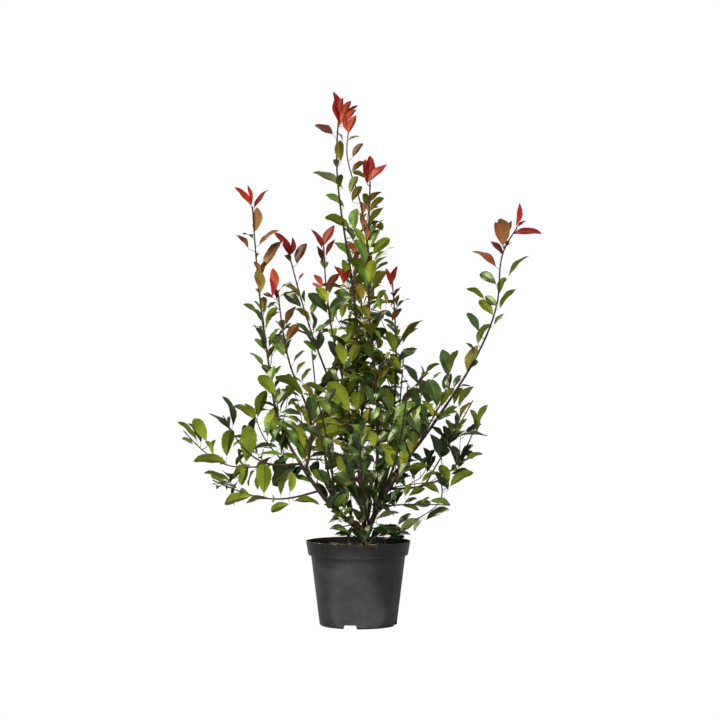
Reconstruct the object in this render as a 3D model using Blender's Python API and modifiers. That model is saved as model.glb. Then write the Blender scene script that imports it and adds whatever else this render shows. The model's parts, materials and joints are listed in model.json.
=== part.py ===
"""A young photinia, the evergreen shrub with red new growth, standing in its plastic nursery pot.

Metres, +Z up. The origin is the middle of the pot's flat underside. The shrub spreads
widest along X, and its front faces -Y. The pot and the compost are turned shapes. Every
limb is a smooth route from a fork on its parent, through its bends, to its tip. The lower
share of a limb is bare wood, and the rest of it carries one or more masses of foliage.
"""

import math
import random
from collections import namedtuple

import bmesh
import bpy
import numpy as np
from mathutils import Vector
from mathutils.bvhtree import BVHTree

# Pot
POT_HEIGHT = 0.225
RIM_RADIUS = 0.140
RIM_FOOT_RADIUS = 0.1335
RIM_BAND = 0.037
BODY_TOP_RADIUS = 0.1265
BASE_RADIUS = 0.103
BASE_CHAMFER = 0.003
WALL = 0.0025
FLOOR = 0.003
POT_SIDES = 40
NOTCH_COUNT = 4
NOTCH_FIRST_DEG = -102.0
NOTCH_WIDTH = 0.038
NOTCH_HEIGHT = 0.0105
NOTCH_NARROWING = 0.8
NOTCH_DEPTH = 0.022

# Gap that touching pieces keep, and the distance within which points are one
GAP = 0.0004
WELD_DISTANCE = 0.00001

# Compost
COMPOST_LEVEL = 0.207
COMPOST_CROWN = 0.003
COMPOST_SIDES = 24
COMPOST_RINGS = (1.0, 0.78, 0.52)
COMPOST_SEAT_RADIUS = 0.036
COMPOST_UNEVENNESS = 0.0015

# Trunk: a short stem from its flat cut at the compost to its fork
TRUNK_FOOT = (0.012, 0.0, COMPOST_LEVEL + COMPOST_CROWN + GAP)
TRUNK_TOP = (0.018, 0.0, 0.244)
TRUNK_FLARE_RADIUS = 0.019
TRUNK_TOP_RADIUS = 0.0105
TRUNK_SIDES = 12
TRUNK_RINGS = 6
TRUNK_FLUTES = 5
TRUNK_FLUTE_DEPTH = 0.12

# Limbs and foliage
SEED = 11
ROUTE_POINTS = 60
WOOD_SPACING = 0.035
FOLIAGE_SIDES = 8
FOLIAGE_RINGS = 7
WAIST_SHARE = 0.42
TIP_SHARE = 0.16
LOBE_DEPTH = 0.15
# How many lobes go round a mass, and how far in radians they turn along it
LOBES = ((2, 3.1), (3, -5.3), (1, 7.7))
# A mass's outline is the middle part of a sine's arch, made blunter by the power
ARCH_FROM = 0.10
ARCH_SPAN = 0.80
ARCH_POWER = 0.6
SEAT_MARGIN = 0.002
NEW_GROWTH_HEIGHT = 0.65
STEM_BEVEL_LEVEL = 2
BOUGH_BEVEL_LEVEL = 1
SMOOTH_ANGLE_DEG = 60.0

# parent, the share of the parent's length where the limb forks off, its bends and its tip,
# its radius at the fork and at the tip, the share that is bare wood, and the half width of
# its foliage in as many masses as are given
Limb = namedtuple("Limb", "parent fork bends tip thick thin bare girths")

LIMBS = {
    # Stems that rise from the trunk's fork
    "leader_stem": Limb(
        "trunk", 1.0, ((-0.001, 0.020, 0.493), (-0.006, 0.030, 0.817), (-0.058, 0.038, 1.290)),
        (-0.046, 0.040, 1.430), 0.0072, 0.0020, 0.15, (0.060, 0.050)),
    "right_stem": Limb(
        "trunk", 1.0, ((0.040, -0.010, 0.285),),
        (0.064, -0.020, 0.366), 0.0080, 0.0062, 1.0, ()),
    "left_stem": Limb(
        "trunk", 1.0, ((-0.078, -0.030, 0.327),),
        (-0.154, -0.050, 0.434), 0.0068, 0.0045, 1.0, ()),
    # Tall stems of the middle
    "front_centre_stem": Limb(
        "right_stem", 0.42, ((0.052, -0.070, 0.549), (0.028, -0.100, 0.865)),
        (0.034, -0.120, 1.236), 0.0055, 0.0020, 0.16, (0.052, 0.046)),
    "front_centre_side_shoot": Limb(
        "front_centre_stem", 0.74, ((0.007, -0.100, 1.114), (-0.030, -0.060, 1.264)),
        (-0.019, -0.050, 1.353), 0.0025, 0.0015, 0.0, (0.026,)),
    "left_centre_stem": Limb(
        "leader_stem", 0.12, ((-0.030, -0.035, 0.601), (-0.080, -0.055, 0.851)),
        (-0.093, -0.060, 1.066), 0.0045, 0.0018, 0.12, (0.044,)),
    "left_back_stem": Limb(
        "leader_stem", 0.18, ((-0.040, 0.070, 0.560), (-0.130, 0.120, 0.790)),
        (-0.205, 0.140, 1.060), 0.0045, 0.0018, 0.14, (0.046,)),
    "right_centre_stem": Limb(
        "right_stem", 0.97, ((0.094, 0.040, 0.547), (0.103, 0.080, 0.729)),
        (0.090, 0.100, 0.962), 0.0042, 0.0018, 0.17, (0.050,)),
    # Left side
    "far_left_stem": Limb(
        "left_stem", 0.96, ((-0.204, 0.000, 0.521), (-0.248, 0.050, 0.736)),
        (-0.292, 0.080, 1.180), 0.0042, 0.0018, 0.14, (0.052, 0.042)),
    "near_left_stem": Limb(
        "left_stem", 0.90, ((-0.123, -0.120, 0.537), (-0.180, -0.150, 0.704)),
        (-0.213, -0.160, 0.940), 0.0040, 0.0018, 0.0, (0.060, 0.036)),
    "low_left_bough": Limb(
        "left_stem", 0.99, ((-0.244, -0.060, 0.435),),
        (-0.375, -0.080, 0.600), 0.0032, 0.0015, 0.24, (0.040,)),
    "outer_left_spray": Limb(
        "low_left_bough", 0.23, ((-0.350, -0.020, 0.428),),
        (-0.480, 0.020, 0.530), 0.0022, 0.0014, 0.0, (0.036,)),
    "inner_left_spray": Limb(
        "low_left_bough", 0.12, ((-0.258, 0.010, 0.510),),
        (-0.292, 0.060, 0.612), 0.0022, 0.0014, 0.0, (0.042,)),
    "lowest_left_bough": Limb(
        "left_stem", 0.66, ((-0.219, -0.100, 0.342),),
        (-0.397, -0.140, 0.402), 0.0030, 0.0015, 0.30, (0.034,)),
    # Right side
    "far_right_stem": Limb(
        "right_stem", 0.99, ((0.202, -0.030, 0.540), (0.368, -0.050, 0.854), (0.387, -0.055, 0.999)),
        (0.460, -0.060, 1.104), 0.0052, 0.0018, 0.31, (0.050,)),
    "right_bough": Limb(
        "right_stem", 0.66, ((0.129, -0.080, 0.438),),
        (0.217, -0.120, 0.594), 0.0044, 0.0020, 0.30, (0.056,)),
    "inner_right_spray": Limb(
        "right_bough", 0.27, ((0.159, -0.020, 0.548),),
        (0.171, 0.000, 0.708), 0.0024, 0.0015, 0.0, (0.046,)),
    "low_right_bough": Limb(
        "right_stem", 0.98, ((0.221, 0.040, 0.387),),
        (0.340, 0.090, 0.585), 0.0036, 0.0016, 0.44, (0.042,)),
    "low_right_spray": Limb(
        "low_right_bough", 0.30, ((0.241, 0.000, 0.481),),
        (0.305, -0.040, 0.600), 0.0022, 0.0014, 0.0, (0.038,)),
    "low_right_drooping_spray": Limb(
        "low_right_bough", 0.42, ((0.222, 0.000, 0.338),),
        (0.117, -0.030, 0.268), 0.0018, 0.0012, 0.0, (0.016,)),
    "lowest_right_spray": Limb(
        "right_stem", 0.60, ((0.121, -0.060, 0.325),),
        (0.240, -0.120, 0.327), 0.0022, 0.0014, 0.32, (0.024,)),
    # Back and front
    "tall_back_stem": Limb(
        "leader_stem", 0.14, ((0.010, 0.160, 0.545), (0.014, 0.260, 0.760)),
        (-0.001, 0.330, 1.005), 0.0050, 0.0020, 0.26, (0.050, 0.044)),
    "back_left_bough": Limb(
        "left_stem", 0.36, ((-0.101, 0.200, 0.488),),
        (-0.132, 0.300, 0.740), 0.0042, 0.0018, 0.34, (0.058,)),
    "back_right_bough": Limb(
        "right_stem", 0.55, ((0.102, 0.180, 0.489),),
        (0.130, 0.300, 0.745), 0.0042, 0.0018, 0.34, (0.058,)),
    "low_back_bough": Limb(
        "leader_stem", 0.07, ((-0.018, 0.240, 0.403),),
        (-0.038, 0.385, 0.520), 0.0036, 0.0016, 0.36, (0.046,)),
    "front_left_bough": Limb(
        "left_stem", 0.44, ((-0.072, -0.200, 0.461),),
        (-0.101, -0.300, 0.600), 0.0040, 0.0018, 0.34, (0.052,)),
    "front_right_bough": Limb(
        "right_stem", 0.78, ((0.103, -0.190, 0.473),),
        (0.126, -0.290, 0.640), 0.0040, 0.0018, 0.34, (0.052,)),
    "low_front_bough": Limb(
        "right_stem", 0.16, ((0.010, -0.220, 0.398),),
        (0.005, -0.370, 0.510), 0.0036, 0.0016, 0.36, (0.046,)),
    # Leaves about the foot
    "foot_right_spray": Limb(
        "right_stem", 0.10, ((0.070, -0.020, 0.262),),
        (0.128, -0.040, 0.258), 0.0020, 0.0014, 0.0, (0.019,)),
    "foot_left_spray": Limb(
        "left_stem", 0.16, ((-0.030, -0.050, 0.268),),
        (-0.075, -0.075, 0.262), 0.0020, 0.0014, 0.0, (0.018,)),
}

# Finishes: base colour, roughness
POT_PLASTIC = ("pot_plastic", (0.020, 0.021, 0.023), 0.42)
COMPOST = ("compost", (0.030, 0.020, 0.014), 0.95)
BARK = ("bark", (0.110, 0.060, 0.036), 0.75)
GREEN_LEAVES = ("green_leaves", (0.060, 0.150, 0.030), 0.45)
RED_LEAVES = ("red_leaves", (0.420, 0.035, 0.020), 0.40)


def clear_scene():
    for obj in list(bpy.data.objects):
        bpy.data.objects.remove(obj, do_unlink=True)


def new_collection(name):
    collection = bpy.data.collections.new(name)
    bpy.context.scene.collection.children.link(collection)
    return collection


def material(finish):
    name, colour, roughness = finish
    found = bpy.data.materials.get(name)
    if found:
        return found
    made = bpy.data.materials.new(name)
    made.use_nodes = True
    shader = made.node_tree.nodes["Principled BSDF"]
    shader.inputs["Base Color"].default_value = (*colour, 1.0)
    shader.inputs["Roughness"].default_value = roughness
    shader.inputs["Metallic"].default_value = 0.0
    made.diffuse_color = (*colour, 1.0)
    return made


def new_object(name, mesh, finish, collection):
    obj = bpy.data.objects.new(name, mesh)
    obj.data.materials.clear()
    obj.data.materials.append(material(finish))
    collection.objects.link(obj)
    return obj


def new_cutter(name, mesh, collection):
    obj = bpy.data.objects.new(name, mesh)
    collection.objects.link(obj)
    obj.hide_render = True
    obj.display_type = "WIRE"
    return obj


def cut(obj, cutter):
    modifier = obj.modifiers.new("clear of " + cutter.name, "BOOLEAN")
    modifier.operation = "DIFFERENCE"
    modifier.solver = "EXACT"
    modifier.object = cutter


# Turned shapes


def turned(name, profile, sides, finish, collection):
    """A profile of (radius, height) turned about Z, smooth round its sides."""
    mesh = bpy.data.meshes.new(name)
    points = [(radius, 0.0, height) for radius, height in profile]
    mesh.from_pydata(points, [(i, i + 1) for i in range(len(points) - 1)], [])
    obj = new_object(name, mesh, finish, collection)
    screw = obj.modifiers.new("turn", "SCREW")
    screw.steps = sides
    screw.render_steps = sides
    screw.use_merge_vertices = True
    screw.merge_threshold = WELD_DISTANCE
    return obj


def wall_radius(height):
    """The pot's outer radius under its rim band."""
    share = height / (POT_HEIGHT - RIM_BAND)
    return BASE_RADIUS + (BODY_TOP_RADIUS - BASE_RADIUS) * share


def band_radius(height):
    """The outer radius of the rim band."""
    share = (height - (POT_HEIGHT - RIM_BAND)) / RIM_BAND
    return RIM_FOOT_RADIUS + (RIM_RADIUS - RIM_FOOT_RADIUS) * share


def pot(parts, cutters):
    band_foot = POT_HEIGHT - RIM_BAND
    inside = [
        (0.0, FLOOR),
        (wall_radius(FLOOR) - WALL, FLOOR),
        (wall_radius(band_foot) - WALL, band_foot + WALL),
        (band_radius(band_foot + WALL) - WALL, band_foot + WALL),
        (RIM_RADIUS - WALL, POT_HEIGHT),
    ]
    outside = [
        (RIM_RADIUS, POT_HEIGHT),
        (RIM_FOOT_RADIUS, band_foot),
        (BODY_TOP_RADIUS, band_foot),
        (wall_radius(BASE_CHAMFER), BASE_CHAMFER),
        (BASE_RADIUS - BASE_CHAMFER, 0.0),
        (0.0, 0.0),
    ]
    obj = turned("pot", inside + outside, POT_SIDES, POT_PLASTIC, parts)
    for index in range(NOTCH_COUNT):
        cut(obj, notch_cutter(index, cutters))
    return obj


def notch_cutter(index, cutters):
    """A drainage notch in the corner between wall and floor, narrower at its top."""
    mesh = bpy.data.meshes.new("notch")
    shape = bmesh.new()
    bmesh.ops.create_cube(shape, size=1.0)
    height = 2 * NOTCH_HEIGHT
    for vertex in shape.verts:
        width = NOTCH_WIDTH * (NOTCH_NARROWING if vertex.co.z > 0 else 2 - NOTCH_NARROWING)
        vertex.co = (vertex.co.x * NOTCH_DEPTH, vertex.co.y * width, vertex.co.z * height)
    shape.to_mesh(mesh)
    shape.free()
    cutter = new_cutter(f"notch_{index + 1}", mesh, cutters)
    angle = math.radians(NOTCH_FIRST_DEG + 360.0 / NOTCH_COUNT * index)
    cutter.location = (BASE_RADIUS * math.cos(angle), BASE_RADIUS * math.sin(angle), 0.0)
    cutter.rotation_euler = (0.0, 0.0, angle)
    return cutter


def compost(parts):
    """The root ball: it fills the pot to just under the rim, uneven but for the trunk's seat."""
    band_foot = POT_HEIGHT - RIM_BAND
    edge = band_radius(COMPOST_LEVEL) - WALL - 2 * GAP
    crown = COMPOST_LEVEL + COMPOST_CROWN
    top = [(0.0, crown), (COMPOST_SEAT_RADIUS, crown)]
    for share in reversed(COMPOST_RINGS):
        top.append((edge * share, COMPOST_LEVEL + COMPOST_CROWN * (1 - share)))
    profile = top + [
        (band_radius(band_foot + WALL) - WALL - 2 * GAP, band_foot + WALL + GAP),
        (wall_radius(band_foot) - WALL - 2 * GAP, band_foot + WALL + GAP),
        (wall_radius(FLOOR) - WALL - 2 * GAP, FLOOR + GAP),
        (0.0, FLOOR + GAP),
    ]
    obj = turned("compost", profile, COMPOST_SIDES, COMPOST, parts)
    obj.data = evaluated_mesh(obj)
    obj.modifiers.clear()
    dice = random.Random(SEED)
    for vertex in obj.data.vertices:
        radius = math.hypot(vertex.co.x, vertex.co.y)
        on_top = vertex.co.z > COMPOST_LEVEL - WALL
        if on_top and COMPOST_SEAT_RADIUS + WALL < radius < edge - WALL:
            vertex.co.z += dice.uniform(-1, 1) * COMPOST_UNEVENNESS
    return obj


def evaluated_mesh(obj):
    graph = bpy.context.evaluated_depsgraph_get()
    return bpy.data.meshes.new_from_object(obj.evaluated_get(graph))


# Routes


def smooth_route(knots):
    """Evenly spaced points along one smooth curve through the knots."""
    knots = np.array(knots, float)
    if len(knots) == 2:
        knots = np.array([knots[0], knots.mean(axis=0), knots[1]])
    steps = np.linalg.norm(np.diff(knots, axis=0), axis=1)
    slopes = np.diff(knots, axis=0) / steps[:, None]
    inner = (slopes[:-1] * steps[1:, None] + slopes[1:] * steps[:-1, None]) / (
        steps[1:] + steps[:-1]
    )[:, None]
    first = 1.5 * slopes[0] - 0.5 * inner[0]
    last = 1.5 * slopes[-1] - 0.5 * inner[-1]
    tangents = np.vstack([first, inner, last])
    curve = [
        hermite(knots[i], knots[i + 1], tangents[i] * step, tangents[i + 1] * step, share)
        for i, step in enumerate(steps)
        for share in np.linspace(0, 1, ROUTE_POINTS, endpoint=False)
    ]
    return resampled(np.array(curve + [knots[-1]]), ROUTE_POINTS)


def hermite(start, end, leaving, arriving, share):
    square, cube = share**2, share**3
    return (
        (2 * cube - 3 * square + 1) * start
        + (cube - 2 * square + share) * leaving
        + (3 * square - 2 * cube) * end
        + (cube - square) * arriving
    )


def resampled(points, count):
    walked = np.concatenate([[0.0], np.cumsum(np.linalg.norm(np.diff(points, axis=0), axis=1))])
    wanted = np.linspace(0, walked[-1], count)
    return np.column_stack([np.interp(wanted, walked, points[:, axis]) for axis in range(3)])


def stretch(route, start, end, count):
    """The route between two shares of its length, as count points."""
    shares = np.linspace(0, 1, len(route))
    wanted = np.linspace(start, end, count)
    return np.column_stack([np.interp(wanted, shares, route[:, axis]) for axis in range(3)])


def route_length(route):
    return float(np.linalg.norm(np.diff(route, axis=0), axis=1).sum())


def directions_across(points):
    """At each point, two directions across the route, which turn as little as they can."""
    tangents = np.gradient(points, axis=0)
    tangents /= np.linalg.norm(tangents, axis=1)[:, None]
    reference = (0.0, 1.0, 0.0) if abs(tangents[0][1]) < 0.8 else (1.0, 0.0, 0.0)
    side = np.cross(tangents[0], reference)
    found = []
    for tangent in tangents:
        side = side - tangent * side.dot(tangent)
        side /= np.linalg.norm(side)
        found.append((side, np.cross(tangent, side)))
    return found


# Wood


def limb_radius(limb, share):
    return limb.thick + (limb.thin - limb.thick) * share


def wood_mesh(name, points, radii, bevel_level):
    """A tapering limb: a bevelled curve with filled caps, made a closed mesh."""
    curve = bpy.data.curves.new(name, "CURVE")
    curve.dimensions = "3D"
    curve.bevel_depth = 1.0
    curve.bevel_resolution = bevel_level
    curve.use_fill_caps = True
    spline = curve.splines.new("POLY")
    spline.points.add(len(points) - 1)
    for control, place, radius in zip(spline.points, points, radii):
        control.co = (*place, 1.0)
        control.radius = radius
    guide = bpy.data.objects.new(name + "_guide", curve)
    bpy.context.scene.collection.objects.link(guide)
    bpy.context.view_layer.update()
    mesh = evaluated_mesh(guide)
    bpy.data.objects.remove(guide, do_unlink=True)
    weld(mesh)
    return mesh


def weld(mesh):
    """Joins the caps to the sides, with every face a triangle."""
    shape = bmesh.new()
    shape.from_mesh(mesh)
    bmesh.ops.remove_doubles(shape, verts=shape.verts, dist=WELD_DISTANCE)
    bmesh.ops.triangulate(shape, faces=shape.faces, quad_method="FIXED")
    bmesh.ops.recalc_face_normals(shape, faces=shape.faces)
    shape.to_mesh(mesh)
    shape.free()


def extended(points, by):
    """The same points with both ends pushed outwards."""
    points = points.copy()
    for end, inner in ((0, 1), (-1, -2)):
        outward = points[end] - points[inner]
        points[end] += outward / np.linalg.norm(outward) * by
    return points


def ringed_cylinder(sides, rings):
    """A unit cylinder about Z, divided along its length into evenly spaced rings."""
    shape = bmesh.new()
    bmesh.ops.create_cone(shape, cap_ends=True, segments=sides, radius1=1.0, radius2=1.0, depth=1.0)
    lengthwise = [edge for edge in shape.edges if edge.verts[0].co.z * edge.verts[1].co.z < 0]
    bmesh.ops.subdivide_edges(shape, edges=lengthwise, cuts=rings - 2)
    return shape


def bare_wood(name, limb, route, grow=0.0):
    count = max(4, round(route_length(route) * limb.bare / WOOD_SPACING) + 1)
    points = stretch(route, 0.0, limb.bare, count)
    radii = [limb_radius(limb, share) + grow for share in np.linspace(0, limb.bare, count)]
    if grow:
        points = extended(points, grow)
    level = STEM_BEVEL_LEVEL if limb.parent == "trunk" else BOUGH_BEVEL_LEVEL
    return wood_mesh(name, points, radii, level)


def trunk_route():
    return smooth_route([TRUNK_FOOT, TRUNK_TOP])


def trunk_mesh(grow=0.0):
    """The short trunk: flared at its flat foot, and as round as its stems at the fork."""
    route = trunk_route()
    shape = ringed_cylinder(TRUNK_SIDES, TRUNK_RINGS)
    for vertex in shape.verts:
        ring = round((vertex.co.z + 0.5) * (TRUNK_RINGS - 1))
        share = ring / (TRUNK_RINGS - 1)
        centre = Vector(stretch(route, share, share, 1)[0])
        flare = (1 - share) ** 2
        radius = TRUNK_TOP_RADIUS + (TRUNK_FLARE_RADIUS - TRUNK_TOP_RADIUS) * flare + grow
        angle = math.atan2(vertex.co.y, vertex.co.x)
        radius *= 1 + TRUNK_FLUTE_DEPTH * flare * math.cos(TRUNK_FLUTES * angle)
        end = grow if ring == TRUNK_RINGS - 1 else -grow if ring == 0 else 0.0
        vertex.co = centre + Vector((radius * math.cos(angle), radius * math.sin(angle), end))
    mesh = bpy.data.meshes.new("trunk")
    shape.to_mesh(mesh)
    shape.free()
    return mesh


# Foliage


def foliage_mesh(name, route, start, end, girth, seat, followed, grow=0.0):
    """One uneven closed mass about the route, with a flat seat at its foot.

    Where another mass follows, its top is a flat waist; else it narrows to a tip.
    """
    dice = random.Random(f"{SEED} {name}")
    phases = [dice.uniform(0, math.tau) for _ in LOBES]
    points = stretch(route, start, end, FOLIAGE_RINGS)
    if grow:
        points = extended(points, grow)
    across = directions_across(points)
    shape = ringed_cylinder(FOLIAGE_SIDES, FOLIAGE_RINGS)
    for vertex in shape.verts:
        ring = round((vertex.co.z + 0.5) * (FOLIAGE_RINGS - 1))
        share = ring / (FOLIAGE_RINGS - 1)
        angle = math.atan2(vertex.co.y, vertex.co.x)
        lobes = sum(
            math.sin(count * angle + phase + turn * share)
            for phase, (count, turn) in zip(phases, LOBES)
        )
        radius = girth * swelling(share, seat / girth, followed) + grow
        if 0 < ring < FOLIAGE_RINGS - 1:
            radius *= 1 + LOBE_DEPTH * lobes
        side, other = across[ring]
        vertex.co = Vector(points[ring] + radius * (math.cos(angle) * side + math.sin(angle) * other))
    bmesh.ops.triangulate(shape, faces=shape.faces, quad_method="FIXED")
    bmesh.ops.recalc_face_normals(shape, faces=shape.faces)
    mesh = bpy.data.meshes.new(name)
    shape.to_mesh(mesh)
    shape.free()
    return mesh


def swelling(share, seat, followed):
    """The mass's half width along its length, as a share of its girth."""
    if share == 0:
        return seat
    if share == 1:
        return WAIST_SHARE if followed else TIP_SHARE
    return math.sin(math.pi * (ARCH_FROM + ARCH_SPAN * share)) ** ARCH_POWER


# Assembly


def islands(shape):
    """The vertices of each separate body of the mesh."""
    unseen = set(shape.verts)
    while unseen:
        body, edge = set(), [next(iter(unseen))]
        while edge:
            vertex = edge.pop()
            if vertex in unseen:
                unseen.discard(vertex)
                body.add(vertex)
                edge.extend(link.other_vert(vertex) for link in vertex.link_edges)
        yield body


def volume_of(body, shape):
    faces = {face for vertex in body for face in vertex.link_faces}
    total = 0.0
    for face in faces:
        corners = [corner.co for corner in face.verts]
        for second, third in zip(corners[1:], corners[2:]):
            total += corners[0].dot(second.cross(third)) / 6
    return total


def drop_offcuts(mesh):
    """Keeps only the largest body, where a cut left a crumb on its far side."""
    shape = bmesh.new()
    shape.from_mesh(mesh)
    bodies = sorted(islands(shape), key=lambda body: volume_of(body, shape))
    for body in bodies[:-1]:
        bmesh.ops.delete(shape, geom=list(body), context="VERTS")
    shape.to_mesh(mesh)
    shape.free()


def tree_of(mesh):
    return BVHTree.FromPolygons(
        [vertex.co for vertex in mesh.vertices], [face.vertices for face in mesh.polygons])


class Shrub:
    """Pieces in the order they are made, each cut clear of every earlier one that it meets."""

    def __init__(self, parts, cutters):
        self.parts, self.cutters = parts, cutters
        self.made = []

    def add(self, name, mesh, grown, finish):
        obj = new_object(name, mesh, finish, self.parts)
        own = tree_of(mesh)
        for cutter, tree in self.made:
            if own.overlap(tree):
                cut(obj, cutter)
        if len(obj.modifiers):
            bpy.context.view_layer.update()
            obj.data = evaluated_mesh(obj)
            obj.modifiers.clear()
            drop_offcuts(obj.data)
        obj.data.shade_smooth()
        obj.data.set_sharp_from_angle(angle=math.radians(SMOOTH_ANGLE_DEG))
        cutter = new_cutter(name + "_room", grown, self.cutters)
        self.made.append((cutter, tree_of(grown)))


def limb_routes():
    routes = {"trunk": trunk_route()}
    for name, limb in LIMBS.items():
        start = stretch(routes[limb.parent], limb.fork, limb.fork, 1)[0]
        routes[name] = smooth_route([start, *limb.bends, limb.tip])
    return routes


def add_wood(shrub, routes):
    shrub.add("trunk", trunk_mesh(), trunk_mesh(GAP), BARK)
    for name, limb in LIMBS.items():
        if limb.bare:
            plain = bare_wood(name, limb, routes[name])
            grown = bare_wood(name, limb, routes[name], GAP)
            shrub.add(name, plain, grown, BARK)


def add_foliage(shrub, routes):
    for name, limb in LIMBS.items():
        ends = np.linspace(limb.bare, 1.0, len(limb.girths) + 1)
        between = GAP / route_length(routes[name])
        for index, girth in enumerate(limb.girths):
            followed = index < len(limb.girths) - 1
            start = ends[index] + (between if ends[index] else 0.0)
            seat = girth * WAIST_SHARE if index else limb_radius(limb, limb.bare) + SEAT_MARGIN
            piece = name + ("_upper_foliage" if index else "_foliage")
            shape = (piece, routes[name], start, ends[index + 1], girth, seat, followed)
            foot = stretch(routes[name], start, start, 1)[0]
            finish = RED_LEAVES if foot[2] > NEW_GROWTH_HEIGHT else GREEN_LEAVES
            shrub.add(piece, foliage_mesh(*shape), foliage_mesh(*shape, GAP), finish)


def main():
    clear_scene()
    parts = new_collection("photinia_in_pot")
    cutters = new_collection("cutters")
    pot(parts, cutters)
    compost(parts)
    shrub = Shrub(parts, cutters)
    routes = limb_routes()
    add_wood(shrub, routes)
    add_foliage(shrub, routes)


main()
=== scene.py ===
"""The look of a young photinia, an evergreen shrub with red new shoots, in its black nursery pot.

Metres, +Z up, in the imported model's frame. The stems and boughs follow the same routes as the
solids. Leaves that show singly are placed one by one. The rest grow by a seeded branching rule.
"""

import json
import math
import random
from collections import namedtuple

import bmesh
import bpy
import numpy as np
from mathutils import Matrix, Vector

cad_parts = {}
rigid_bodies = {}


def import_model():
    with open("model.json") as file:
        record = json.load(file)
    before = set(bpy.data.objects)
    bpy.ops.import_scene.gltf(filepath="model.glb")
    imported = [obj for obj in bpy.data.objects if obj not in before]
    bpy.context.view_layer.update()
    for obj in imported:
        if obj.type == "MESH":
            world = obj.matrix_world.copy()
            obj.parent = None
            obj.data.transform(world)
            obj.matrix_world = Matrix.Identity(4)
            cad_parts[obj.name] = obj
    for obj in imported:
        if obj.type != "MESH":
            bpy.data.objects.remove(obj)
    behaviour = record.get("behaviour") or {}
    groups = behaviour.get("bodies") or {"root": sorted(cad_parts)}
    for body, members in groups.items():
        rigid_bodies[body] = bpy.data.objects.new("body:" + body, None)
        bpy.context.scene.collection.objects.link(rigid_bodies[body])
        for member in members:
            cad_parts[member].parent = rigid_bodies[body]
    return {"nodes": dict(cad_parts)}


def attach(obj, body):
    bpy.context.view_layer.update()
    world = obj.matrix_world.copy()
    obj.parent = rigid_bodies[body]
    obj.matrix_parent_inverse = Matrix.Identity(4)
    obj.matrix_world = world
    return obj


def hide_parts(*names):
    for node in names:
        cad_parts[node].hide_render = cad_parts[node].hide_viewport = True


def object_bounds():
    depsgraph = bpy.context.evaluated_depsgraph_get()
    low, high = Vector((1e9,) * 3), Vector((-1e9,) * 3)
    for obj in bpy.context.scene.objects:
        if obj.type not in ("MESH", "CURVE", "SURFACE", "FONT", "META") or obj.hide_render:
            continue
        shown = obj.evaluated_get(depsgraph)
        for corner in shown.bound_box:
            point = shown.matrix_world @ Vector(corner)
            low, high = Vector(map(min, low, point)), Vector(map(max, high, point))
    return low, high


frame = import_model()
cad_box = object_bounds()

# Camera: where it stands, and its focal length in pixels of a picture 720 wide
CAMERA_X = 0.0048
CAMERA_DISTANCE = 5.0
CAMERA_HEIGHT = 0.636
FOCAL_PIXELS = 1865.0
PICTURE_WIDTH = 720
SENSOR_MM = 36.0
HORIZON_ROW = 387.0
MIDDLE = 360.0

SEED = 23

# Pot and compost, as in the solids
POT_HEIGHT = 0.225
RIM_RADIUS = 0.140
RIM_FOOT_RADIUS = 0.1335
RIM_BAND = 0.037
BODY_TOP_RADIUS = 0.1265
BASE_RADIUS = 0.103
BASE_CHAMFER = 0.003
WALL = 0.0025
FLOOR = 0.003
NOTCH_COUNT = 4
NOTCH_FIRST_DEG = -102.0
NOTCH_WIDTH = 0.038
NOTCH_HEIGHT = 0.0105
NOTCH_NARROWING = 0.8
NOTCH_DEPTH = 0.022
COMPOST_LEVEL = 0.207
COMPOST_CROWN = 0.003
# The floor stands on a foot ring, so that light shows through the notches
RAISED_FLOOR = 0.0135
MOULDING_LINES = (0.176,)
POT_SIDES = 180
# Radius of each rounded corner of the profile, by its number in pot_profile
POT_CORNERS = {
    3: 0.0010, 4: 0.0012, 5: 0.0012, 6: 0.0010, 7: 0.0018, 8: 0.0016, 9: 0.0010, 10: 0.0008,
}
POT_SHARP_DEG = 38
COMPOST_SIDES = 96
COMPOST_RINGS = 30
COMPOST_ROUGHNESS = 0.0006
# What the compost keeps clear of the pot's wall, and crumbs of the trunk's middle
COMPOST_GAP = 0.0006
TRUNK_CLEAR = 0.020
CRUMBS = 900
FIBRES = 60
FIBRE_POINTS = 6

# Straws that hang over the front of the rim: the columns where they rise and end, and their drop
RIM_STRAWS = ((369, 372, 0.009), (372, 376, 0.013), (362, 360, 0.006), (334, 336, 0.006))

# Trunk, as in the solids
TRUNK_FOOT = (0.012, 0.0, 0.2104)
TRUNK_TOP = (0.018, 0.0, 0.244)
TRUNK_FLARE_RADIUS = 0.019
TRUNK_TOP_RADIUS = 0.0105

ROUTE_POINTS = 60

# parent, fork, bends, tip, thick, thin, bare and girths are the solids' own. From the share
# open_from on, single leaves are placed and few others grow
Limb = namedtuple("Limb", "parent fork bends tip thick thin bare girths open_from recipe")

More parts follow.
